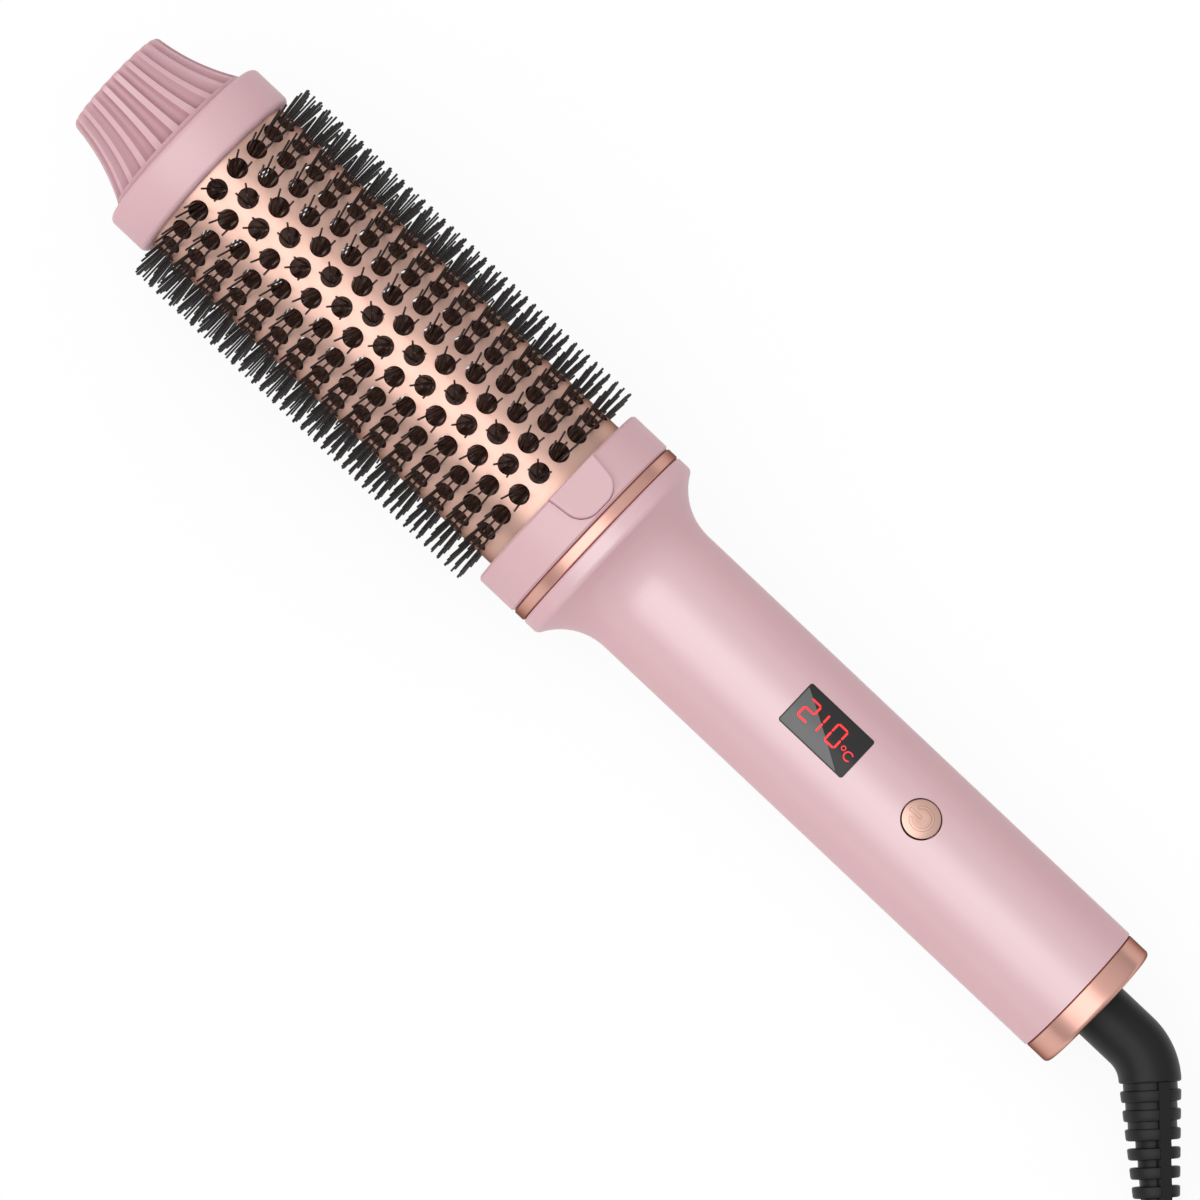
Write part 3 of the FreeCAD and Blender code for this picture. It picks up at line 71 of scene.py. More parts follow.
# %% [markdown]
# ## Camera
#
# The photograph is taken from almost straight above, with a long lens.  The rows of holes show
# how far the camera is turned round the brush.  Near the tip the rings of holes bow, and near the
# handle they run almost straight: that tells over which place of the brush the camera stands, and
# how far off.  The picture's centre is a point beside the brush, and the picture is turned so
# that the brush runs down to the right.  The Standard view shows colours as they are, so that
# white stays white.

# %% Directions of the picture
CAMERA_ROLL = math.radians(12.54)
CAMERA_DISTANCE = 1.65
FOOT_STATION = 178.0 * MM
CENTRE_STATION = 144.48 * MM
CENTRE_ASIDE = 9.11 * MM
PICTURE_TURN = math.radians(43.35)
toward_camera = Vector((0, -math.sin(CAMERA_ROLL), math.cos(CAMERA_ROLL)))
aside = Vector((0, -math.cos(CAMERA_ROLL), -math.sin(CAMERA_ROLL)))
eye = LYING @ (Vector((FOOT_STATION, 0, 0)) + toward_camera * CAMERA_DISTANCE)
target = LYING @ (Vector((CENTRE_STATION, 0, 0)) + aside * CENTRE_ASIDE)
forward = (target - eye).normalized()
brush_in_picture = (along - forward * along.dot(forward)).normalized()
beside_in_picture = forward.cross(brush_in_picture)
right = brush_in_picture * math.cos(PICTURE_TURN) - beside_in_picture * math.sin(PICTURE_TURN)
down = brush_in_picture * math.sin(PICTURE_TURN) + beside_in_picture * math.cos(PICTURE_TURN)
print("picture centre", [round(v, 3) for v in target])

# %% Camera at the photograph's place
SENSOR_MM = 36.0
LENS_MM = 243.42
FAR_CLIP = 20.0
camera_data = bpy.data.cameras.new("camera")
camera_data.sensor_width = SENSOR_MM
camera_data.lens = LENS_MM
camera_data.clip_end = FAR_CLIP
camera = bpy.data.objects.new("camera", camera_data)
bpy.context.scene.collection.objects.link(camera)
camera.matrix_world = Matrix((right, -down, -forward)).transposed().to_4x4()
camera.location = eye
bpy.context.scene.camera = camera
bpy.context.scene.view_settings.view_transform = "Standard"
print("camera", [round(v, 3) for v in eye], "lens", LENS_MM, "mm")

# %% [markdown]
# ## Floor
#
# The brush lies on a pale sheet, as in a product picture.  Enough light to make the sheet white
# would make the brush too pale.  So the camera, and all that mirrors or lets light through, sees
# most of the sheet as an even glow.  The small rest is a lit surface, which keeps the soft
# shadow.  The sheet is large, so that it also fills the view from other sides.

# %% Finish of the floor
FLOOR_COLOUR = (0.97, 0.97, 0.97, 1)
FLOOR_ROUGHNESS = 0.9
FLOOR_GLOW = 0.91


def link_nodes(tree, *pairs):
    """Join sockets, each pair as (from, to)."""
    for start, end in pairs:
        tree.links.new(start, end)


def math_node(tree, operation):
    """A node that works out one value from two."""
    node = tree.nodes.new("ShaderNodeMath")
    node.operation = operation
    return node


def paint_floor():
    """A pale surface that glows for the rays that show it."""
    material = bpy.data.materials.new("pale_floor")
    material.use_nodes = True
    tree = material.node_tree
    shader = tree.nodes["Principled BSDF"]
    shader.inputs["Base Color"].default_value = FLOOR_COLOUR
    shader.inputs["Roughness"].default_value = FLOOR_ROUGHNESS
    shader.inputs["Specular IOR Level"].default_value = 0.0
    glow = tree.nodes.new("ShaderNodeEmission")
    paths = tree.nodes.new("ShaderNodeLightPath")
    seen = math_node(tree, "MAXIMUM")
    seen_through = math_node(tree, "MAXIMUM")
    share = math_node(tree, "MULTIPLY")
    share.inputs[1].default_value = FLOOR_GLOW
    mix = tree.nodes.new("ShaderNodeMixShader")
    link_nodes(
        tree,
        (paths.outputs["Is Camera Ray"], seen.inputs[0]),
        (paths.outputs["Is Glossy Ray"], seen.inputs[1]),
        (seen.outputs[0], seen_through.inputs[0]),
        (paths.outputs["Is Transmission Ray"], seen_through.inputs[1]),
        (seen_through.outputs[0], share.inputs[0]),
        (share.outputs[0], mix.inputs[0]),
        (shader.outputs[0], mix.inputs[1]),
        (glow.outputs[0], mix.inputs[2]),
        (mix.outputs[0], tree.nodes["Material Output"].inputs["Surface"]),
    )
    return material


pale_floor = paint_floor()
print("floor's finish with", len(pale_floor.node_tree.nodes), "nodes")

# %% Pale floor
FLOOR_REACH = 8.0
floor_mesh = bpy.data.meshes.new("floor")
sheet = bmesh.new()
bmesh.ops.create_grid(sheet, x_segments=1, y_segments=1, size=FLOOR_REACH)
sheet.to_mesh(floor_mesh)
sheet.free()
floor_mesh.materials.append(pale_floor)
floor = bpy.data.objects.new("floor", floor_mesh)
bpy.context.scene.collection.objects.link(floor)
print("floor", 2 * FLOOR_REACH, "m wide")

# %% [markdown]
# ## Lamp and sky
#
# One big soft lamp above makes even light.  It stands a little to the lower left, so the broad
# gleam on the round grip lies there too.  A small lamp would make a hard, narrow gleam instead.

# %% Soft lamp
LAMP_PLACE = Vector((-0.25, -0.68, 1.50))
LAMP_SIDE = 2.0
LAMP_WATTS = 15.6
lamp_data = bpy.data.lights.new("key", "AREA")
lamp_data.shape = "SQUARE"
lamp_data.size = LAMP_SIDE
lamp_data.energy = LAMP_WATTS
lamp = bpy.data.objects.new("key", lamp_data)
bpy.context.scene.collection.objects.link(lamp)
lamp.location = LAMP_PLACE
lamp.rotation_mode = "QUATERNION"
lamp.rotation_quaternion = (-LAMP_PLACE).to_track_quat("-Z", "Y")
print("lamp", LAMP_SIDE, "m wide,", round(LAMP_PLACE.length, 2), "m from the brush")

# %% [markdown]
# The sky is bright above and darker near the horizon, so that round metal gets the dark edges
# that give it its shape.  The height of a direction picks its colour from a ramp.

# %% Sky
HORIZON = (0.24, 0.24, 0.24, 1)
LOW_SKY = (0.60, 0.60, 0.60, 1)
LOW_SKY_HEIGHT = 0.25
HIGH_SKY = (0.80, 0.80, 0.81, 1)
HIGH_SKY_HEIGHT = 0.9
world = bpy.data.worlds.new("studio")
world.use_nodes = True
bpy.context.scene.world = world
sky = world.node_tree
direction = sky.nodes.new("ShaderNodeTexCoord")
height = sky.nodes.new("ShaderNodeSeparateXYZ")
ramp = sky.nodes.new("ShaderNodeValToRGB")
stops = ramp.color_ramp.elements
stops[0].position, stops[0].color = 0.0, HORIZON
stops[1].position, stops[1].color = HIGH_SKY_HEIGHT, HIGH_SKY
stops.new(LOW_SKY_HEIGHT).color = LOW_SKY
link_nodes(
    sky,
    (direction.outputs["Generated"], height.inputs[0]),
    (height.outputs["Z"], ramp.inputs[0]),
    (ramp.outputs[0], sky.nodes["Background"].inputs["Color"]),
)
print("sky from", HORIZON[0], "at the horizon to", HIGH_SKY[0], "above")

# %% [markdown]
# ## Finishes
#
# Every finish starts from the same few nodes: a Principled shader whose colour drifts a little,
# whose roughness is mottled and whose surface has a fine grain.  Patterns read Object
# coordinates, which stay on the piece when it moves.

# %% Helpers for colours
def srgb(red, green, blue):
    """A colour as read from a picture, made linear."""
    values = (red / 255, green / 255, blue / 255)
    linear = [v / 12.92 if v <= 0.04045 else ((v + 0.055) / 1.055) ** 2.4 for v in values]
    return (*linear, 1.0)


def mix_colours(tree, first, second):
    """A node that mixes two colours; a colour that is None is linked later."""
    mix = tree.nodes.new("ShaderNodeMix")
    mix.data_type = "RGBA"
    for socket, colour in ((mix.inputs[6], first), (mix.inputs[7], second)):
        if colour:
            socket.default_value = colour
    return mix


print("middle grey is", round(srgb(128, 128, 128)[0], 3), "in linear light")

# %% Helper for a finish
MICRON = 0.000001
DRIFT_SCALE = 45.0
DRIFT_DETAIL = 3.0
GRAIN_DETAIL = 4.0


def shader_of(material):
    """The Principled shader of a finish."""
    return material.node_tree.nodes["Principled BSDF"]


def new_finish(name, colour, second_colour, roughness, grain_scale, grain_microns, metallic=0.0,
               stretch=(1, 1, 1)):
    """A surface with slight colour drift, mottled roughness and fine grain."""
    material = bpy.data.materials.new(name)
    material.use_nodes = True
    tree = material.node_tree
    shader = shader_of(material)
    shader.inputs["Metallic"].default_value = metallic
    place = tree.nodes.new("ShaderNodeTexCoord")
    turn = tree.nodes.new("ShaderNodeMapping")
    turn.inputs["Scale"].default_value = stretch
    drift = tree.nodes.new("ShaderNodeTexNoise")
    drift.inputs["Scale"].default_value = DRIFT_SCALE
    drift.inputs["Detail"].default_value = DRIFT_DETAIL
    colours = mix_colours(tree, colour, second_colour)
    colours.name = "colours"
    grain = tree.nodes.new("ShaderNodeTexNoise")
    grain.inputs["Scale"].default_value = grain_scale
    grain.inputs["Detail"].default_value = GRAIN_DETAIL
    rough = tree.nodes.new("ShaderNodeMapRange")
    rough.inputs["To Min"].default_value = roughness[0]
    rough.inputs["To Max"].default_value = roughness[1]
    bump = tree.nodes.new("ShaderNodeBump")
    bump.inputs["Distance"].default_value = grain_microns * MICRON
    link_nodes(
        tree,
        (place.outputs["Object"], turn.inputs["Vector"]),
        (place.outputs["Object"], drift.inputs["Vector"]),
        (drift.outputs["Fac"], colours.inputs["Factor"]),
        (colours.outputs[2], shader.inputs["Base Color"]),
        (turn.outputs["Vector"], grain.inputs["Vector"]),
        (grain.outputs["Fac"], rough.inputs["Value"]),
        (rough.outputs["Result"], shader.inputs["Roughness"]),
        (grain.outputs["Fac"], bump.inputs["Height"]),
        (bump.outputs["Normal"], shader.inputs["Normal"]),
    )
    return material


# %% [markdown]
# The pink mouldings have satin paint.  A plain glossy shader turns white at a flat angle, where
# it mirrors the pale floor, and satin paint hardly does.  So a Layer Weight node lowers the gloss
# there.

# %% Gloss of satin paint
FLAT_GLOSS = 0.05
FLAT_ANGLE = 0.35


def soften_gloss(material, gloss):
    """Satin paint gleams where it faces us and stays dull at a flat angle."""
    tree = material.node_tree
    angle = tree.nodes.new("ShaderNodeLayerWeight")
    level = tree.nodes.new("ShaderNodeMapRange")
    level.inputs["From Max"].default_value = FLAT_ANGLE
    level.inputs["To Min"].default_value = gloss
    level.inputs["To Max"].default_value = FLAT_GLOSS
    link_nodes(
        tree,
        (angle.outputs["Facing"], level.inputs["Value"]),
        (level.outputs["Result"], shader_of(material).inputs["Specular IOR Level"]),
    )


# %% [markdown]
# In narrow grooves the light bounces from pink to pink, so the pink there looks deeper and darker.
# That shade is painted into the colour: the grooves could be painted by hand, but an Ambient
# Occlusion node finds them on every piece and mixes in a deeper pink as painted shade.

# %% Painted shade in grooves
PAINTED_SHADE_PINK = srgb(182, 136, 143)
CREASE_OPENNESS = (0.78, 0.97)
CREASE_SAMPLES = 8


def paint_crease_shade(material, reach):
    """Paint shade into grooves up to a reach wide: a deeper pink mixed into the colour."""
    tree = material.node_tree
    hollow = tree.nodes.new("ShaderNodeAmbientOcclusion")
    hollow.only_local = True
    hollow.samples = CREASE_SAMPLES
    hollow.inputs["Distance"].default_value = reach
    openness = tree.nodes.new("ShaderNodeMapRange")
    openness.inputs["From Min"].default_value = CREASE_OPENNESS[0]
    openness.inputs["From Max"].default_value = CREASE_OPENNESS[1]
    # painted shade: a deeper pink mixed in where the Ambient Occlusion node finds a groove
    painted_shade = mix_colours(tree, PAINTED_SHADE_PINK, None)
    link_nodes(
        tree,
        (hollow.outputs["AO"], openness.inputs["Value"]),
        (openness.outputs["Result"], painted_shade.inputs["Factor"]),
        (tree.nodes["colours"].outputs[2], painted_shade.inputs[7]),
        (painted_shade.outputs[2], shader_of(material).inputs["Base Color"]),
    )


# %% Pink mouldings
PINK = srgb(216, 177, 182)
SECOND_PINK = srgb(213, 173, 178)
PINK_IOR = 1.8
PINK_GRAIN = (5000, 4)


def pink_finish(name, roughness, gloss, crease_shade_reach):
    """Satin pink with its own gloss and painted shade in its grooves."""
    pink = new_finish(name, PINK, SECOND_PINK, roughness, *PINK_GRAIN)
    shader_of(pink).inputs["IOR"].default_value = PINK_IOR
    soften_gloss(pink, gloss)
    paint_crease_shade(pink, crease_shade_reach)
    return pink


# Both pinks get painted shade in grooves, up to 6 mm wide on the grip and 4 mm on the tip and
# collar.
pink_paint = pink_finish("pink_paint", (0.34, 0.42), 1.0, 6.0 * MM)
pink_matte = pink_finish("pink_matte", (0.38, 0.46), 0.4, 4.0 * MM)
print("pink finishes with", len(pink_paint.node_tree.nodes), "nodes each")

# %% [markdown]
# Rose gold is a metal, so what we see of it is what it mirrors.  At a flat angle it mirrors
# darker and duller, which the shader's Specular Tint gives.  Its grain is stretched along the
# brush, as a brushed finish is.

# %% Rose gold
METAL_EDGE = srgb(100, 90, 88)
METAL_GRAIN = (2600, 3)
BRUSHED = (0.25, 1, 1)


def rose_gold(name, colour, second_colour, roughness):
    """Plated metal whose edges turn darker at a flat angle."""
    metal = new_finish(name, colour, second_colour, roughness, *METAL_GRAIN, metallic=1.0,
                       stretch=BRUSHED)
    shader_of(metal).inputs["Specular Tint"].default_value = METAL_EDGE
    return metal


satin_rose_gold = rose_gold(
    "satin_rose_gold", srgb(223, 183, 168), srgb(217, 176, 161), (0.34, 0.42))
bright_rose_gold = rose_gold(
    "bright_rose_gold", srgb(228, 177, 163), srgb(222, 170, 156), (0.28, 0.34))
print("rose gold:", satin_rose_gold.name, "and", bright_rose_gold.name)

# %% [markdown]
# The other finishes need no more than the helper: dark nylon and rubber, nickel, and the plain
# materials of the works inside, which show only when a piece is taken out.

# %% Other finishes of the outside
RUBBER_GLOSS = 0.3
black_nylon = new_finish("black_nylon", srgb(34, 31, 31), srgb(44, 40, 39), (0.34, 0.5), 3000, 3)
black_rubber = new_finish("black_rubber", srgb(19, 19, 20), srgb(17, 17, 18), (0.4, 0.48), 4500, 8)
shader_of(black_rubber).inputs["Specular IOR Level"].default_value = RUBBER_GLOSS
end_grey = new_finish("end_grey", srgb(70, 68, 68), srgb(64, 62, 62), (0.45, 0.55), 4000, 10)
pin_nickel = new_finish(
    "pin_nickel", srgb(206, 204, 200), srgb(196, 194, 190), (0.16, 0.24), 2500, 2, metallic=1.0)
print(len(bpy.data.materials), "materials so far")

# %% Finishes of the inside
white_moulding = new_finish(
    "white_moulding", srgb(222, 220, 214), srgb(214, 211, 205), (0.4, 0.5), 3000, 6)
dark_moulding = new_finish(
    "dark_moulding", srgb(62, 50, 46), srgb(54, 43, 40), (0.45, 0.55), 3000, 6)
steel = new_finish(
    "steel", srgb(196, 196, 198), srgb(186, 186, 188), (0.25, 0.35), 2500, 3, metallic=1.0)
brass = new_finish(
    "brass", srgb(214, 176, 104), srgb(204, 164, 94), (0.22, 0.32), 2500, 3, metallic=1.0)
board_green = new_finish(
    "board_green", srgb(30, 92, 58), srgb(26, 84, 52), (0.3, 0.42), 2500, 6)
component_black = new_finish(
    "component_black", srgb(40, 40, 42), srgb(36, 36, 38), (0.4, 0.5), 3500, 6)
film_amber = new_finish(
    "film_amber", srgb(150, 88, 40), srgb(138, 78, 34), (0.3, 0.4), 2500, 4)
sleeve_fibre = new_finish(
    "sleeve_fibre", srgb(214, 208, 196), srgb(202, 196, 184), (0.7, 0.8), 6000, 30)
print(len(bpy.data.materials), "materials so far")

# %% [markdown]
# The bristles are black outside the barrel, and browner at their roots, inside the barrel's radius.
# The distance from the brush's axis decides: it is the part of a point's place that is left when
# the part along the axis is taken away.

# %% Browner roots
BARREL_RADIUS = 19.0 * MM
ROOT_FADE = (BARREL_RADIUS + 0.5 * MM, BARREL_RADIUS - 2.0 * MM)
ROOT_BROWN = srgb(128, 92, 78)


def tint_roots(material):
    """Mix brown into a finish inside the barrel's radius."""
    tree = material.node_tree
    place = tree.nodes.new("ShaderNodeTexCoord")
    steps = {}
    for name, operation in (
            ("from axis", "SUBTRACT"), ("share", "DOT_PRODUCT"), ("on axis", "SCALE"),
            ("out", "SUBTRACT"), ("radius", "LENGTH")):
        steps[name] = tree.nodes.new("ShaderNodeVectorMath")
        steps[name].operation = operation
    steps["from axis"].inputs[1].default_value = LYING.translation
    steps["share"].inputs[1].default_value = along
    steps["on axis"].inputs[0].default_value = along
    reach = tree.nodes.new("ShaderNodeMapRange")
    reach.inputs["From Min"].default_value = ROOT_FADE[0]
    reach.inputs["From Max"].default_value = ROOT_FADE[1]
    roots = mix_colours(tree, None, ROOT_BROWN)
    link_nodes(
        tree,
        (place.outputs["Object"], steps["from axis"].inputs[0]),
        (steps["from axis"].outputs[0], steps["share"].inputs[0]),
        (steps["share"].outputs["Value"], steps["on axis"].inputs["Scale"]),
        (steps["from axis"].outputs[0], steps["out"].inputs[0]),
        (steps["on axis"].outputs[0], steps["out"].inputs[1]),
        (steps["out"].outputs[0], steps["radius"].inputs[0]),
        (steps["radius"].outputs["Value"], reach.inputs["Value"]),
        (reach.outputs["Result"], roots.inputs["Factor"]),
        (tree.nodes["colours"].outputs[2], roots.inputs[6]),
        (roots.outputs[2], shader_of(material).inputs["Base Color"]),
    )


tint_roots(black_nylon)
print("roots turn brown within", round((ROOT_FADE[0] - ROOT_FADE[1]) / MM, 1), "mm")

# %% [markdown]
# The display's window is smoked plastic.  A painted reflection makes one half of it a lighter grey,
# parted by a slanting line.  The line is a plane across the window: the dot product of a point with
# the plane's normal says on which side the point is.

# %% Finish of the display's window
DISPLAY_STATION = 196.05 * MM
GRIP_RADIUS = 15.44 * MM
# ends of the line that bounds the painted reflection
REFLECTION_LINE_START = Vector((-8.69, 4.13, 0)) * MM
REFLECTION_LINE_END = Vector((7.47, -5.25, 0)) * MM
REFLECTION_LINE_BLUR = 0.03 * MM
PAINTED_REFLECTION_GREY = srgb(104, 103, 103)
WINDOW_GLOSS = 0.35


def smoked_window():
    """Dark glossy plastic with a painted reflection: a lighter half below a slanting line."""
    window = new_finish("smoked_window", srgb(40, 38, 38), srgb(36, 35, 35), (0.2, 0.26), 900, 0.4)
    shader_of(window).inputs["Specular IOR Level"].default_value = WINDOW_GLOSS
    tree = window.node_tree
    line = (REFLECTION_LINE_END - REFLECTION_LINE_START).normalized()
    across_line = Vector((-line.y, line.x, 0))
    normal = LYING.to_3x3() @ across_line
    on_line = LYING @ (Vector((DISPLAY_STATION, 0, GRIP_RADIUS)) + REFLECTION_LINE_START)
    place = tree.nodes.new("ShaderNodeTexCoord")
    dot = tree.nodes.new("ShaderNodeVectorMath")
    dot.operation = "DOT_PRODUCT"
    dot.inputs[1].default_value = normal
    side = tree.nodes.new("ShaderNodeMapRange")
    side.inputs["From Min"].default_value = normal.dot(on_line) + REFLECTION_LINE_BLUR
    side.inputs["From Max"].default_value = normal.dot(on_line) - REFLECTION_LINE_BLUR
    # painted reflection: the lighter grey half stands in for glare mirrored in the window
    painted_reflection = mix_colours(tree, None, PAINTED_REFLECTION_GREY)
    link_nodes(
        tree,
        (place.outputs["Object"], dot.inputs[0]),
        (dot.outputs["Value"], side.inputs["Value"]),
        (side.outputs["Result"], painted_reflection.inputs["Factor"]),
        (tree.nodes["colours"].outputs[2], painted_reflection.inputs[6]),
        (painted_reflection.outputs[2], shader_of(window).inputs["Base Color"]),
    )
    return window


smoked = smoked_window()
print("window parted by a line of", round((REFLECTION_LINE_END - REFLECTION_LINE_START).length / MM, 1), "mm")

# %% [markdown]
# Now each solid gets its finish.  A table keeps it easy to see which pieces share one material.

# %% Give the finishes
STRIPS = ["bristle_strip_%02d" % number for number in range(1, 11)]
FINISHED = [
    (pink_paint, ["handle_front_shell", "handle_rear_shell"]),
    (pink_matte, ["tip_cap", "tip_plug", "barrel_collar", "thumb_rest"]),
    (satin_rose_gold, ["barrel_tube", "power_button"]),
    (bright_rose_gold, ["collar_ring", "end_ring"]),
    (black_nylon, STRIPS),
    (dark_moulding, ["bristle_core"]),
    (black_rubber, ["strain_relief", "power_cord", "power_cord_coil", "power_cord_tail", "cord_tie",
                    "plug_body"]),
    (smoked, ["display_window"]),
    (end_grey, ["end_plate"]),
    (white_moulding, ["tip_bush", "base_bush", "switch_plunger", "board_carrier", "terminal_block",
                      "swivel_housing", "swivel_spindle"]),
    (steel, ["tip_screw", "collar_screws", "board_screws", "swivel_clip", "thermal_fuse"]),
    (brass, ["slip_rings", "contact_leaves"]),
    (board_green, ["control_board"]),
    (component_black, ["led_display", "tact_switch", "film_capacitor", "triac",
                       "temperature_sensor", "plug_pin_sleeves"]),
    (film_amber, ["heater_film"]),
    (sleeve_fibre, ["heater_leads"]),
    (pin_nickel, ["plug_pins"]),
]
for finish, names in FINISHED:
    for name in names:
        nodes[name].data.materials.clear()
        nodes[name].data.materials.append(finish)
print("finished", sum(len(names) for _, names in FINISHED), "of", len(nodes), "solids")

# %% [markdown]
# The bristles look a little stouter in the photograph than the solid ones.  A Displace modifier
# without a texture moves every face outward by the same small amount and leaves the mesh itself
# as it is.

# %% Stouter bristles
BRISTLE_EXTRA = 0.05 * MM
for name in STRIPS:
    stout = nodes[name].modifiers.new("stouter", "DISPLACE")
    stout.strength = BRISTLE_EXTRA
    stout.mid_level = 0.0
print("bristles", round(BRISTLE_EXTRA / MM, 3), "mm stouter all round")

# %% [markdown]
# ## The cord
#
# The cord leaves the strain relief, lies down and is wound into a flat coil of two layers: in on
# the lower layer, out again on the upper one.  Then it climbs onto the coil, where the plug lies.
# A NURBS curve with a round bevel follows the same points as the solid cord, so it is one smooth
# line.

# %% Route of the cord
LEAD_IN = [Vector(point) * MM for point in (
    (182.39, -29.778, 6.674), (196.144, -42.881, 3.4), (205.919, -52.194, 3.4))]
TAIL = [Vector(point) * MM for point in (
    (245.565, -67.72, 8.8), (264.763, -67.439, 8.8), (278.139, -53.665, 13.55),
    (277.858, -34.467, 18.3), (264.084, -21.091, 18.3))]
COIL_CENTRE = Vector((239.092, -25.868, 3.4)) * MM
COIL_FIRST_TURN = math.radians(-134.7868)
COIL_TURNS = 8.13
COIL_OUTER = 41.951 * MM
COIL_PITCH = 5.4 * MM
CLIMB_TURNS = 0.5
POINTS_PER_TURN = 20


def coil_points():
    """Points of the coil: in on the lower layer, up over half a turn, and out on the upper one."""
    steps = round(COIL_TURNS * POINTS_PER_TURN)
    outward = 1 / math.cos(math.pi / POINTS_PER_TURN)
    points = []
    for step in range(1, steps):
        turns = COIL_TURNS * step / steps
        radius = (COIL_OUTER - COIL_PITCH * min(turns, COIL_TURNS - turns)) * outward
        share = min(max((turns - COIL_TURNS / 2) / CLIMB_TURNS + 0.5, 0.0), 1.0)
        rise = COIL_PITCH * share * share * (3 - 2 * share)
        turn = COIL_FIRST_TURN + 2 * math.pi * turns
        place = Vector((radius * math.cos(turn), radius * math.sin(turn), rise))
        points.append(COIL_CENTRE + place)
    return points


route = LEAD_IN + coil_points() + TAIL
print("route of", len(route), "points")

# %% The cord as one curve
CORD_RADIUS = 2.5 * MM


def lay_cord():
    """One smooth curve through the whole route, with a round section."""
    data = bpy.data.curves.new("cord", "CURVE")
    data.dimensions = "3D"
    data.bevel_depth = CORD_RADIUS
    data.bevel_resolution = 5
    data.resolution_u = 4
    data.use_fill_caps = True
    spline = data.splines.new("NURBS")
    spline.points.add(len(route) - 1)
    for point, place in zip(spline.points, route):
        point.co = (*place, 1.0)
    spline.order_u = 3
    spline.use_endpoint_u = True
    data.materials.append(black_rubber)
    cord = bpy.data.objects.new("cord", data)
    bpy.context.scene.collection.objects.link(cord)
    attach(cord, "cord_swivel")
    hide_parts("power_cord", "power_cord_coil", "power_cord_tail")
    return cord


cord = lay_cord()
print("cord", round(2 * CORD_RADIUS / MM, 1), "mm thick, in", len(cord.data.splines), "spline")

# %% [markdown]
# ## Pieces modelled here
#
# Some visible pieces are modelled with mesh operators.  One helper turns finished geometry into
# an object: it merges doubles, turns the faces outward, smooths them and keeps sharp edges sharp.

# %% Helper for a modelled piece
SHARP = math.radians(32)
MERGE_DISTANCE = 2 * MICRON


def make_piece(name, shape, finish, body):
    """Turn a bmesh in the straight brush's axes into an object on a body."""
    bmesh.ops.remove_doubles(shape, verts=shape.verts, dist=MERGE_DISTANCE)
    bmesh.ops.recalc_face_normals(shape, faces=shape.faces)
    for face in shape.faces:
        face.smooth = True
    for edge in shape.edges:
        edge.smooth = edge.calc_face_angle(math.pi) < SHARP
    bmesh.ops.transform(shape, matrix=LYING, verts=shape.verts)
    mesh = bpy.data.meshes.new(name)
    shape.to_mesh(mesh)
    shape.free()
    mesh.materials.append(finish)
    piece = bpy.data.objects.new(name, mesh)
    bpy.context.scene.collection.objects.link(piece)
    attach(piece, body)
    print(name, len(mesh.polygons), "faces")
    return piece


def new_parts(made, kind):
    """The verts, edges or faces that an operator returned."""
    return [part for part in made if isinstance(part, kind)]


# %% [markdown]
# ## Fluted tip
#
# The tip is one closed shell, made of rings that are pushed along the axis: from the barrel over
# the rounded rim, forward along the hollow flare, round the front edge and back through the
# inside.  A lathe, or Blender's Screw modifier, could turn the plain form, but pushed rings can
# also change their shape on the way, and the flutes need that.

# %% Helpers for rings
STRAIGHT = Vector((1, 0, 0))
CORNER_STEPS = 6


def push_ring(shape, ring, way, distance, scale):
    """Extrude a ring of edges along a direction and scale it about its middle."""
    made = bmesh.ops.extrude_edge_only(shape, edges=ring)["geom"]
    corners = new_parts(made, bmesh.types.BMVert)
    bmesh.ops.translate(shape, vec=way * distance, verts=corners)
    middle = sum((corner.co for corner in corners), Vector()) / len(corners)
    about_middle = Matrix.Translation(-middle)
    bmesh.ops.scale(shape, vec=(scale, scale, scale), space=about_middle, verts=corners)
    fresh = set(corners)
    return [edge for edge in new_parts(made, bmesh.types.BMEdge) if set(edge.verts) <= fresh]


def quarter(x, radius, corner, start):
    """Stations and radii of a rounded corner about a point, over a quarter turn."""
    turns = [start + math.pi / (2 * CORNER_STEPS) * step for step in range(CORNER_STEPS + 1)]
    return [(x + corner * math.cos(turn), radius + corner * math.sin(turn)) for turn in turns]


# %% [markdown]
# The tip's profile is a list of stations along the axis, each with a radius.  The flare is an arc
# whose middle lies outside the tip, which makes it hollow.  The inside has the steps for the
# screw, the bush and the barrel's end.

# %% Profile of the tip
RIM_FRONT = 18.7 * MM
RIM_BACK = 28.7 * MM
RIM_RADIUS = 21.3 * MM
RIM_ROUND = 1.3 * MM
RIM_BORE = 19.1 * MM
FLARE_MIDDLE = Vector((-4.333, 57.058)) * MM
FLARE_RADIUS = 45.0 * MM
FLARE_STEPS = 12
FLUTE_STOP = 17.5 * MM
FRONT_ROUND = 1.2 * MM
FRONT_RADIUS = 12.4 * MM
TIP_INSIDE = [
    (0.0, 4.5), (1.8, 4.5), (1.8, 3.0), (4.0, 3.0), (4.0, 1.6), (6.8, 1.6), (6.8, 9.5), (14.8, 9.5),
    (14.8, 14.0), (22.0, 14.0), (22.0, 19.1), (28.7, 19.1),
]


def flare_radius(station):
    """Radius of the hollow flare at a station."""
    return FLARE_MIDDLE.y - math.sqrt(FLARE_RADIUS ** 2 - (station - FLARE_MIDDLE.x) ** 2)


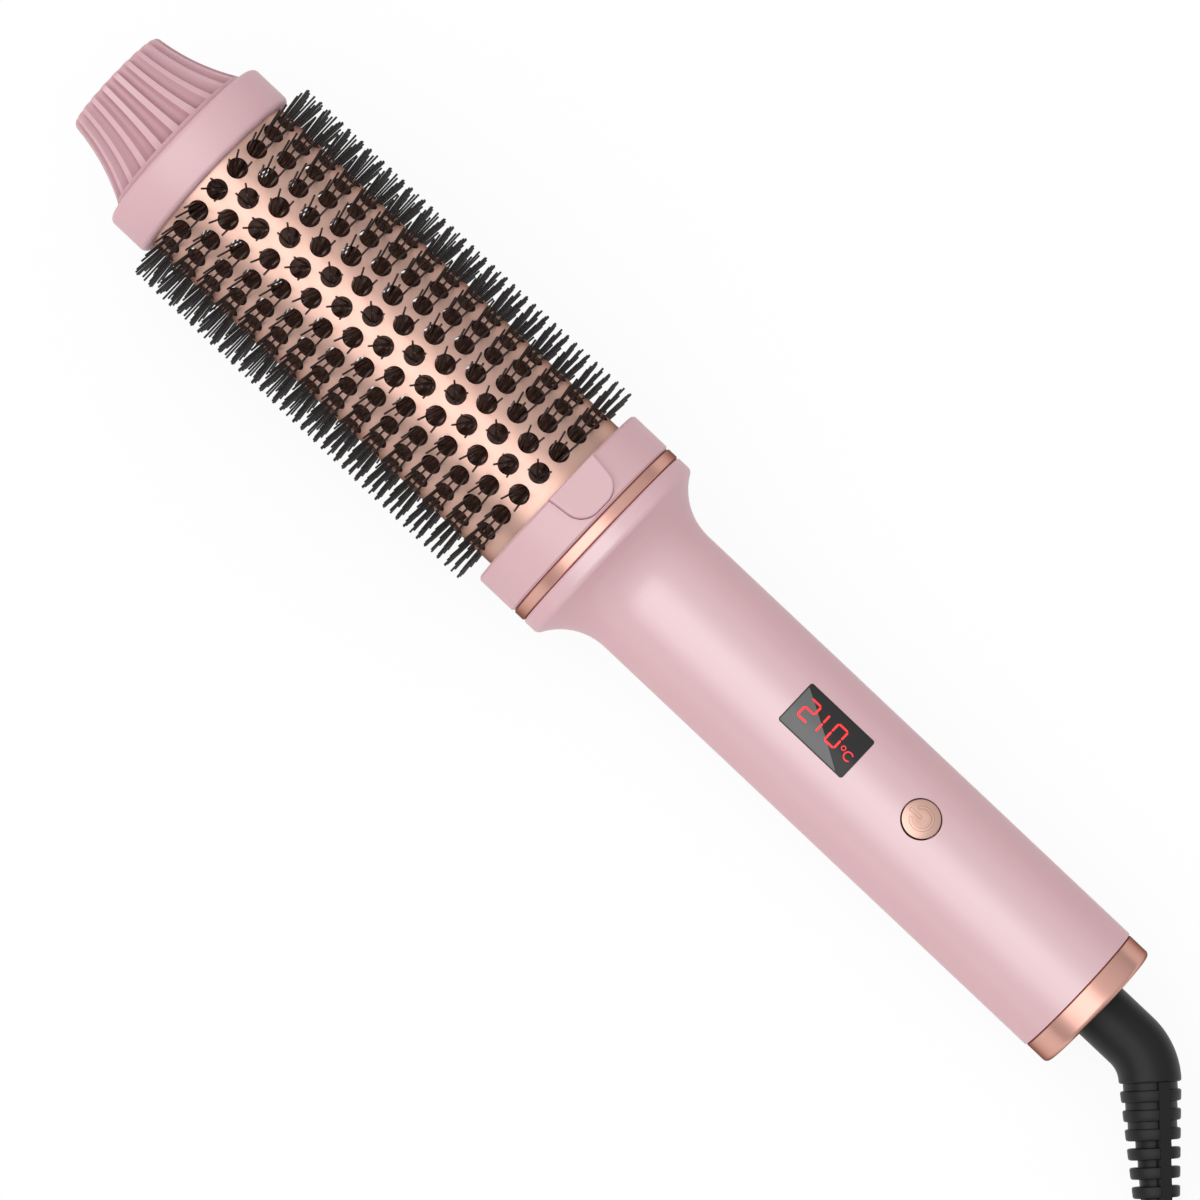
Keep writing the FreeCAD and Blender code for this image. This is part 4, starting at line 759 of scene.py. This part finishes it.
def tip_profile():
    """Stations and radii of the rim, of the fluted flare with its front edge, and of the inside."""
    rim = [(RIM_BACK, RIM_BORE)]
    rim += quarter(RIM_BACK - RIM_ROUND, RIM_RADIUS - RIM_ROUND, RIM_ROUND, 0.0)
    rim += quarter(RIM_FRONT + RIM_ROUND, RIM_RADIUS - RIM_ROUND, RIM_ROUND, math.pi / 2)
    rim += [(RIM_FRONT, flare_radius(RIM_FRONT)), (FLUTE_STOP, flare_radius(FLUTE_STOP))]
    flutes = [(FLUTE_STOP, flare_radius(FLUTE_STOP))]
    for step in range(1, FLARE_STEPS + 1):
        station = FLUTE_STOP + (FRONT_ROUND - FLUTE_STOP) * step / FLARE_STEPS
        flutes.append((station, flare_radius(station)))
    flutes += quarter(FRONT_ROUND, FRONT_RADIUS - FRONT_ROUND, FRONT_ROUND, math.pi / 2)[1:]
    inside = [(x * MM, radius * MM) for x, radius in TIP_INSIDE]
    return rim, flutes, inside


print("tip of", sum(len(stretch) for stretch in tip_profile()), "rings")

# %% [markdown]
# The flutes could be cut out with 22 round bars, but such cuts leave slivers at the rim.
# Instead, where they stop, five of every nine points of the ring are drawn inward, which makes a
# round hollow, and all rings in front of it keep that shape.

# %% Flutes and the finished tip
FLUTE_COUNT = 22
FLUTE_DEPTH = 0.08
FLUTE_DEPTHS = (1.0, 0.93, 0.68)
RING_STEPS = 9


def draw_flutes(shape, ring, power):
    """Draw the flutes' points of a ring inward, or with a power of -1 out again."""
    pitch = 2 * math.pi / FLUTE_COUNT
    corners = {corner for edge in ring for corner in edge.verts}
    turns = {corner: math.atan2(corner.co.y, corner.co.z) / pitch for corner in corners}
    for steps, depth in enumerate(FLUTE_DEPTHS):
        share = (1 - depth * FLUTE_DEPTH) ** power
        hollow = [corner for corner, turn in turns.items()
                  if round(abs(turn - round(turn)) * RING_STEPS) == steps]
        bmesh.ops.scale(shape, vec=(1, share, share), verts=hollow)


def make_tip():
    """Push one ring through the whole profile, and draw the flutes in and out again."""
    rim, flutes, inside = tip_profile()
    station, radius = rim[0]
    points = FLUTE_COUNT * RING_STEPS
    shape = bmesh.new()
    corners = bmesh.ops.create_circle(shape, segments=points, radius=radius)["verts"]
    bmesh.ops.rotate(shape, matrix=Matrix.Rotation(math.pi / 2, 3, "Y"), verts=corners)
    bmesh.ops.rotate(shape, matrix=Matrix.Rotation(math.pi / 2, 3, "X"), verts=corners)
    bmesh.ops.translate(shape, vec=(station, 0, 0), verts=corners)
    ring = shape.edges[:]
    for stretch, power in ((rim[1:], 0), (flutes, 1), (inside, -1)):
        for number, (new_station, new_radius) in enumerate(stretch):
            ring = push_ring(shape, ring, STRAIGHT, new_station - station, new_radius / radius)
            station, radius = new_station, new_radius
            if number == 0:
                draw_flutes(shape, ring, power)
    tip = make_piece("fluted_tip", shape, pink_matte, "brush")
    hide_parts("tip_cap")


make_tip()

# %% [markdown]
# ## Strain relief
#
# The rubber sleeve keeps the cord from kinking where it leaves the handle.  Its ribs could be
# separate rings on a thin core, but one long extrusion gives them as a single closed skin.  So
# the ribbed stretch is a list of steps, each with a radius: down into a slot, up again, and over
# the rib's rounded edges, while the whole stretch tapers towards the cord.

# %% Steps of the ribbed stretch
RELIEF_RADIUS = 6.4 * MM
RELIEF_END_RADIUS = 3.8 * MM
RIBBED_LENGTH = 39.0 * MM
RIB_COUNT = 9
RIB_START = 0.5 * MM
RIB_PITCH = 3.9 * MM
RIB_ROUND = 0.4 * MM
ROUND_MIDDLE = 0.3
SLOT_WIDTH = 1.5 * MM
SLOT_DEPTH = 1.9 * MM
SHALLOW_SLOTS = 3
SHALLOW_DEPTH = 0.8 * MM


def relief_radius(along_ribs):
    """Outer radius of the tapering stretch."""
    return RELIEF_RADIUS + (RELIEF_END_RADIUS - RELIEF_RADIUS) * along_ribs / RIBBED_LENGTH


def rib_profile():
    """Steps along the ribbed stretch with the radius at each: slot, rounded rib, slot and so on."""
    steps = []
    halfway = RIB_ROUND * ROUND_MIDDLE
    for number in range(RIB_COUNT):
        slot = RIB_START + RIB_PITCH * number
        rib = slot + SLOT_WIDTH
        depth = SHALLOW_DEPTH if number < SHALLOW_SLOTS else SLOT_DEPTH
        floor_radius = relief_radius(slot) - depth
        for edge, inside in ((slot, 1), (rib, -1)):
            rounded = [(edge - inside * RIB_ROUND, 0.0), (edge - inside * halfway, halfway),
                       (edge, RIB_ROUND), (edge, None)]
            for place, drop in rounded[::inside]:
                steps.append((place, floor_radius if drop is None else relief_radius(place) - drop))
    steps.append((RIBBED_LENGTH, RELIEF_END_RADIUS))
    return steps


print(RIB_COUNT, "ribs in", len(rib_profile()), "steps")

# %% [markdown]
# Two bars down the sleeve's sides join the ribs again, as in the real moulding.  Each is a cube
# that is stretched to a bar and leans with the taper.

# %% Bars that join the ribs
SPINE_WIDTH = 2.4 * MM
SPINE_TURN = math.radians(22.0)
SPINE_SEAT = 0.6 * MM


def add_spine(shape, stretch, turn):
    """A bar that joins the ribs along one side."""
    taper = math.atan2(RELIEF_RADIUS - RELIEF_END_RADIUS, RIBBED_LENGTH)
    length = RIBBED_LENGTH - RIB_START
    depth = SLOT_DEPTH + SPINE_SEAT
    corners = bmesh.ops.create_cube(shape, size=1.0)["verts"]
    bmesh.ops.scale(shape, vec=(length, SPINE_WIDTH, depth), verts=corners)
    bmesh.ops.translate(shape, vec=(length / 2, 0, -depth / 2), verts=corners)
    bmesh.ops.rotate(shape, matrix=Matrix.Rotation(taper, 3, "Y"), verts=corners)
    bmesh.ops.translate(shape, vec=(RIB_START, 0, relief_radius(RIB_START)), verts=corners)
    bmesh.ops.transform(shape, matrix=stretch @ Matrix.Rotation(turn, 4, "X"), verts=corners)


# %% [markdown]
# Now a circle is pushed along the neck, spun round the elbow and then pushed on through the
# steps.

# %% Neck, elbow and ribs
NECK_STATION = 266.35 * MM
ELBOW_STATION = 284.3 * MM
ELBOW_RADIUS = 12.0 * MM
ELBOW_TURN = math.radians(43.65)
ELBOW_STEPS = 16
RELIEF_ROLL = math.radians(10.0)
RELIEF_SEGMENTS = 48


def make_relief():
    """Neck, elbow, ribs and spines of the rubber sleeve."""
    shape = bmesh.new()
    corners = bmesh.ops.create_circle(
        shape, cap_ends=True, segments=RELIEF_SEGMENTS, radius=RELIEF_RADIUS)["verts"]
    bmesh.ops.rotate(shape, matrix=Matrix.Rotation(math.pi / 2, 3, "Y"), verts=corners)
    bmesh.ops.translate(shape, vec=(NECK_STATION, 0, 0), verts=corners)
    ring = push_ring(shape, shape.edges[:], STRAIGHT, ELBOW_STATION - NECK_STATION, 1.0)
    bend = bmesh.ops.spin(shape, geom=ring, cent=(ELBOW_STATION, -ELBOW_RADIUS, 0), axis=(0, 0, -1),
                          angle=ELBOW_TURN, steps=ELBOW_STEPS, use_duplicate=False)["geom_last"]
    ring = new_parts(bend, bmesh.types.BMEdge)
    way = Vector((math.cos(ELBOW_TURN), -math.sin(ELBOW_TURN), 0))
    reached = 0.0
    radius = RELIEF_RADIUS
    for place, new_radius in rib_profile():
        ring = push_ring(shape, ring, way, place - reached, new_radius / radius)
        reached, radius = place, new_radius
    bmesh.ops.holes_fill(shape, edges=ring, sides=len(ring))
    beside = Vector((0, 0, 1)).cross(way)
    stretch = Matrix((way, beside, Vector((0, 0, 1)))).transposed().to_4x4()
    stretch.translation = Vector((
        ELBOW_STATION + ELBOW_RADIUS * math.sin(ELBOW_TURN),
        -ELBOW_RADIUS * (1 - math.cos(ELBOW_TURN)),
        0))
    for turn in (-SPINE_TURN, math.pi - SPINE_TURN):
        add_spine(shape, stretch, turn)
    bmesh.ops.transform(shape, matrix=Matrix.Rotation(RELIEF_ROLL, 4, "X"), verts=shape.verts)
    relief = make_piece("strain_relief_ribs", shape, black_rubber, "cord_swivel")
    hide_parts("strain_relief")


make_relief()

# %% [markdown]
# ## Read-out
#
# The red figures are seven-segment digits.  They could be a picture on the window, but as
# geometry they stay sharp from near.  A segment is a small flat bar with pointed ends: a
# rectangle whose four corners are bevelled so far that they almost meet.

# %% One segment of a digit
DIGIT_WIDTH = 3.0 * MM
DIGIT_HEIGHT = 4.95 * MM
FIGURE_RISE = 0.4 * MM
SEGMENT_WIDTH = 0.44 * MM
SEGMENT_GAP = 0.06 * MM
SEGMENT_POINT = 0.499
SEGMENT_PLACES = {
    "a": (0, 1, False), "b": (1, 0.5, True), "c": (1, -0.5, True), "d": (0, -1, False),
    "e": (-1, -0.5, True), "f": (-1, 0.5, True), "g": (0, 0, False),
}


def add_rectangle(shape, length, width, columns=1, rows=1):
    """A flat grid about the origin."""
    corners = bmesh.ops.create_grid(shape, x_segments=columns, y_segments=rows, size=0.5)["verts"]
    bmesh.ops.scale(shape, vec=(length, width, 1), verts=corners)
    return corners


def add_segment(shape, letter, digit_place):
    """One pointed bar of a digit."""
    column, row, upright = SEGMENT_PLACES[letter]
    half_across = (DIGIT_WIDTH - SEGMENT_WIDTH) / 2
    half_up = (DIGIT_HEIGHT - SEGMENT_WIDTH) / 2
    length = (half_up if upright else 2 * half_across) - 2 * SEGMENT_GAP
    corners = add_rectangle(shape, length, SEGMENT_WIDTH)
    cut = bmesh.ops.bevel(
        shape, geom=corners, offset=SEGMENT_WIDTH * SEGMENT_POINT, offset_type="OFFSET",
        affect="VERTICES", segments=1, profile=0.5, material=-1)
    bar = list({corner for face in cut["faces"] for corner in face.verts} | set(cut["verts"]))
    if upright:
        bmesh.ops.rotate(shape, matrix=Matrix.Rotation(math.pi / 2, 3, "Z"), verts=bar)
    place = (digit_place + column * half_across, FIGURE_RISE + row * half_up, 0)
    bmesh.ops.translate(shape, vec=place, verts=bar)


# %% [markdown]
# The degree sign and the letter are curved bands: a short edge that is spun about a centre.  All
# figures are made flat, get a little height and are then bent onto the round window.

# %% Bands, height and bend
FULL_TURN = 2 * math.pi


def add_band(shape, centre, radius, width, start, sweep, steps):
    """A flat curved band, made by spinning a short edge about its centre."""
    first = bmesh.ops.create_vert(shape, co=centre + Vector((radius - width / 2, 0, 0)))["vert"]
    made = bmesh.ops.extrude_vert_indiv(shape, verts=first)
    bmesh.ops.translate(shape, vec=(width, 0, 0), verts=made["verts"])
    ends = first + made["verts"]
    bmesh.ops.rotate(shape, cent=centre, matrix=Matrix.Rotation(start, 3, "Z"), verts=ends)
    bmesh.ops.spin(shape, geom=made["edges"], cent=centre, axis=(0, 0, 1), angle=sweep, steps=steps,
                   use_merge=sweep >= FULL_TURN, use_duplicate=False)


def thicken(shape, thickness):
    """Give flat figures a little height."""
    flat = list(shape.faces)
    bmesh.ops.recalc_face_normals(shape, faces=flat)
    made = bmesh.ops.extrude_face_region(shape, geom=flat, use_keep_orig=True)["geom"]
    bmesh.ops.translate(shape, vec=(0, 0, thickness), verts=new_parts(made, bmesh.types.BMVert))


def bend_onto_window(shape):
    """Move flat figures to the display and bend them onto the round grip."""
    for corner in shape.verts:
        corner.co.z += math.sqrt(GRIP_RADIUS ** 2 - corner.co.y ** 2)
        corner.co.x += DISPLAY_STATION


# %% Red figures of the display
DIGITS = [("abged", -5.28 * MM), ("bc", -2.83 * MM), ("abcdef", 2.16 * MM)]
DEGREE_PLACE = Vector((4.92, -0.42, 0)) * MM
DEGREE_RADIUS = 0.46 * MM
DEGREE_WIDTH = 0.18 * MM
DEGREE_STEPS = 20
LETTER_PLACE = Vector((6.75, -1.05, 0)) * MM
LETTER_RADIUS = 0.95 * MM
LETTER_WIDTH = 0.26 * MM
LETTER_START = math.radians(42)
LETTER_SWEEP = math.radians(276)
LETTER_STEPS = 22
FIGURE_THICKNESS = 0.05 * MM
RED_GLOW = 0.6
red_light = new_finish("red_light", srgb(255, 52, 52), srgb(250, 46, 46), (0.4, 0.5), 2000, 1)
shader_of(red_light).inputs["Emission Color"].default_value = srgb(255, 40, 44)
shader_of(red_light).inputs["Emission Strength"].default_value = RED_GLOW


def make_figures():
    """Digits, degree ring and letter, bent onto the window."""
    shape = bmesh.new()
    for letters, place in DIGITS:
        for letter in letters:
            add_segment(shape, letter, place)
    add_band(shape, DEGREE_PLACE, DEGREE_RADIUS, DEGREE_WIDTH, 0.0, FULL_TURN, DEGREE_STEPS)
    add_band(shape, LETTER_PLACE, LETTER_RADIUS, LETTER_WIDTH, LETTER_START, LETTER_SWEEP,
             LETTER_STEPS)
    thicken(shape, FIGURE_THICKNESS)
    bend_onto_window(shape)
    make_piece("display_figures", shape, red_light, "brush")


make_figures()

# %% [markdown]
# A thin dark frame runs round the window.  It starts as a grid with rounded corners; an inset of
# the whole grid leaves a narrow border, and only that border is kept.

# %% Frame round the window
DISPLAY_LENGTH = 17.5 * MM
DISPLAY_WIDTH = 10.3 * MM
DISPLAY_CORNER = 0.58 * MM
FRAME_WIDTH = 0.22 * MM
FRAME_ROWS = 12
frame_black = new_finish("frame_black", srgb(36, 33, 33), srgb(32, 30, 30), (0.4, 0.5), 2500, 3)


def make_window_frame():
    """A narrow rounded border that lies on the round window."""
    shape = bmesh.new()
    corners = add_rectangle(shape, DISPLAY_LENGTH, DISPLAY_WIDTH, columns=2, rows=FRAME_ROWS)
    outer = [corner for corner in corners if len(corner.link_edges) == 2]
    bmesh.ops.bevel(shape, geom=outer, offset=DISPLAY_CORNER, offset_type="OFFSET",
                    affect="VERTICES", segments=5, profile=0.5, material=-1)
    inner = list(shape.faces)
    bmesh.ops.inset_region(shape, faces=inner, thickness=FRAME_WIDTH, use_even_offset=True,
                           use_boundary=True)
    bmesh.ops.delete(shape, geom=inner, context="FACES")
    thicken(shape, FIGURE_THICKNESS / 2)
    bend_onto_window(shape)
    make_piece("window_frame", shape, frame_black, "brush")


make_window_frame()

# %% [markdown]
# ## Power symbol
#
# The button's crown has a shallow moulded power symbol: an open ring and a bar that points at the
# tip.  The button itself is a measured solid and stays as it is, so the symbol is a thin piece of
# its own.  It is made flat and then set down on the domed crown.  A second copy, a little wider,
# lower and darker, shows round the first one as a fine line of painted shade at its edge.

# %% Power symbol on the button
BUTTON_STATION = 222.15 * MM
BUTTON_CROWN = 15.74 * MM
CROWN_FLAT = 1.2 * MM
CROWN_DOME = 9.0 * MM
SYMBOL_RADIUS = 2.3 * MM
SYMBOL_WIDTH = 0.5 * MM
SYMBOL_GAP = math.radians(64)
SYMBOL_STEPS = 40
BAR_LENGTH = 2.9 * MM
BAR_START = 0.2 * MM
BAR_COLUMNS = 6
SHADE_LINE_WIDTH = 0.09 * MM
SYMBOL_HEIGHT = 0.05 * MM
SHADE_LINE_HEIGHT = 0.03 * MM
SYMBOL_SINK = 0.01 * MM
symbol_gold = rose_gold("symbol_gold", srgb(226, 186, 171), srgb(220, 178, 163), (0.36, 0.44))
# darker rose gold for the line of painted shade round the symbol
edge_shade_gold = rose_gold("edge_shade_gold", srgb(176, 134, 120), srgb(170, 128, 114), (0.36, 0.44))


def crown_height(radius):
    """Height of the button's crown at a distance from its middle."""
    past_flat = max(radius - CROWN_FLAT, 0.0)
    return BUTTON_CROWN - CROWN_DOME + math.sqrt(CROWN_DOME ** 2 - past_flat ** 2)


def make_symbol(name, finish, edge, height):
    """Open ring and bar, set down on the crown, widened all round by edge; the darker copy's
    widening is its line of painted shade.
    """
    shape = bmesh.new()
    width = SYMBOL_WIDTH + 2 * edge
    gap = SYMBOL_GAP - 2 * edge / SYMBOL_RADIUS
    add_band(shape, Vector(), SYMBOL_RADIUS, width, math.pi + gap / 2, FULL_TURN - gap,
             SYMBOL_STEPS)
    corners = add_rectangle(shape, BAR_LENGTH + 2 * edge, width, columns=BAR_COLUMNS)
    bmesh.ops.translate(shape, vec=(-BAR_LENGTH / 2 - BAR_START, 0, 0), verts=corners)
    thicken(shape, height)
    for corner in shape.verts:
        corner.co.z += crown_height(corner.co.xy.length) - SYMBOL_SINK
        corner.co.x += BUTTON_STATION
    make_piece(name, shape, finish, "power_button")


make_symbol("power_symbol", symbol_gold, 0.0, SYMBOL_HEIGHT)
# the wider, darker copy: a line of painted shade along the symbol's edge
make_symbol("power_symbol_shade_line", edge_shade_gold, SHADE_LINE_WIDTH, SHADE_LINE_HEIGHT)
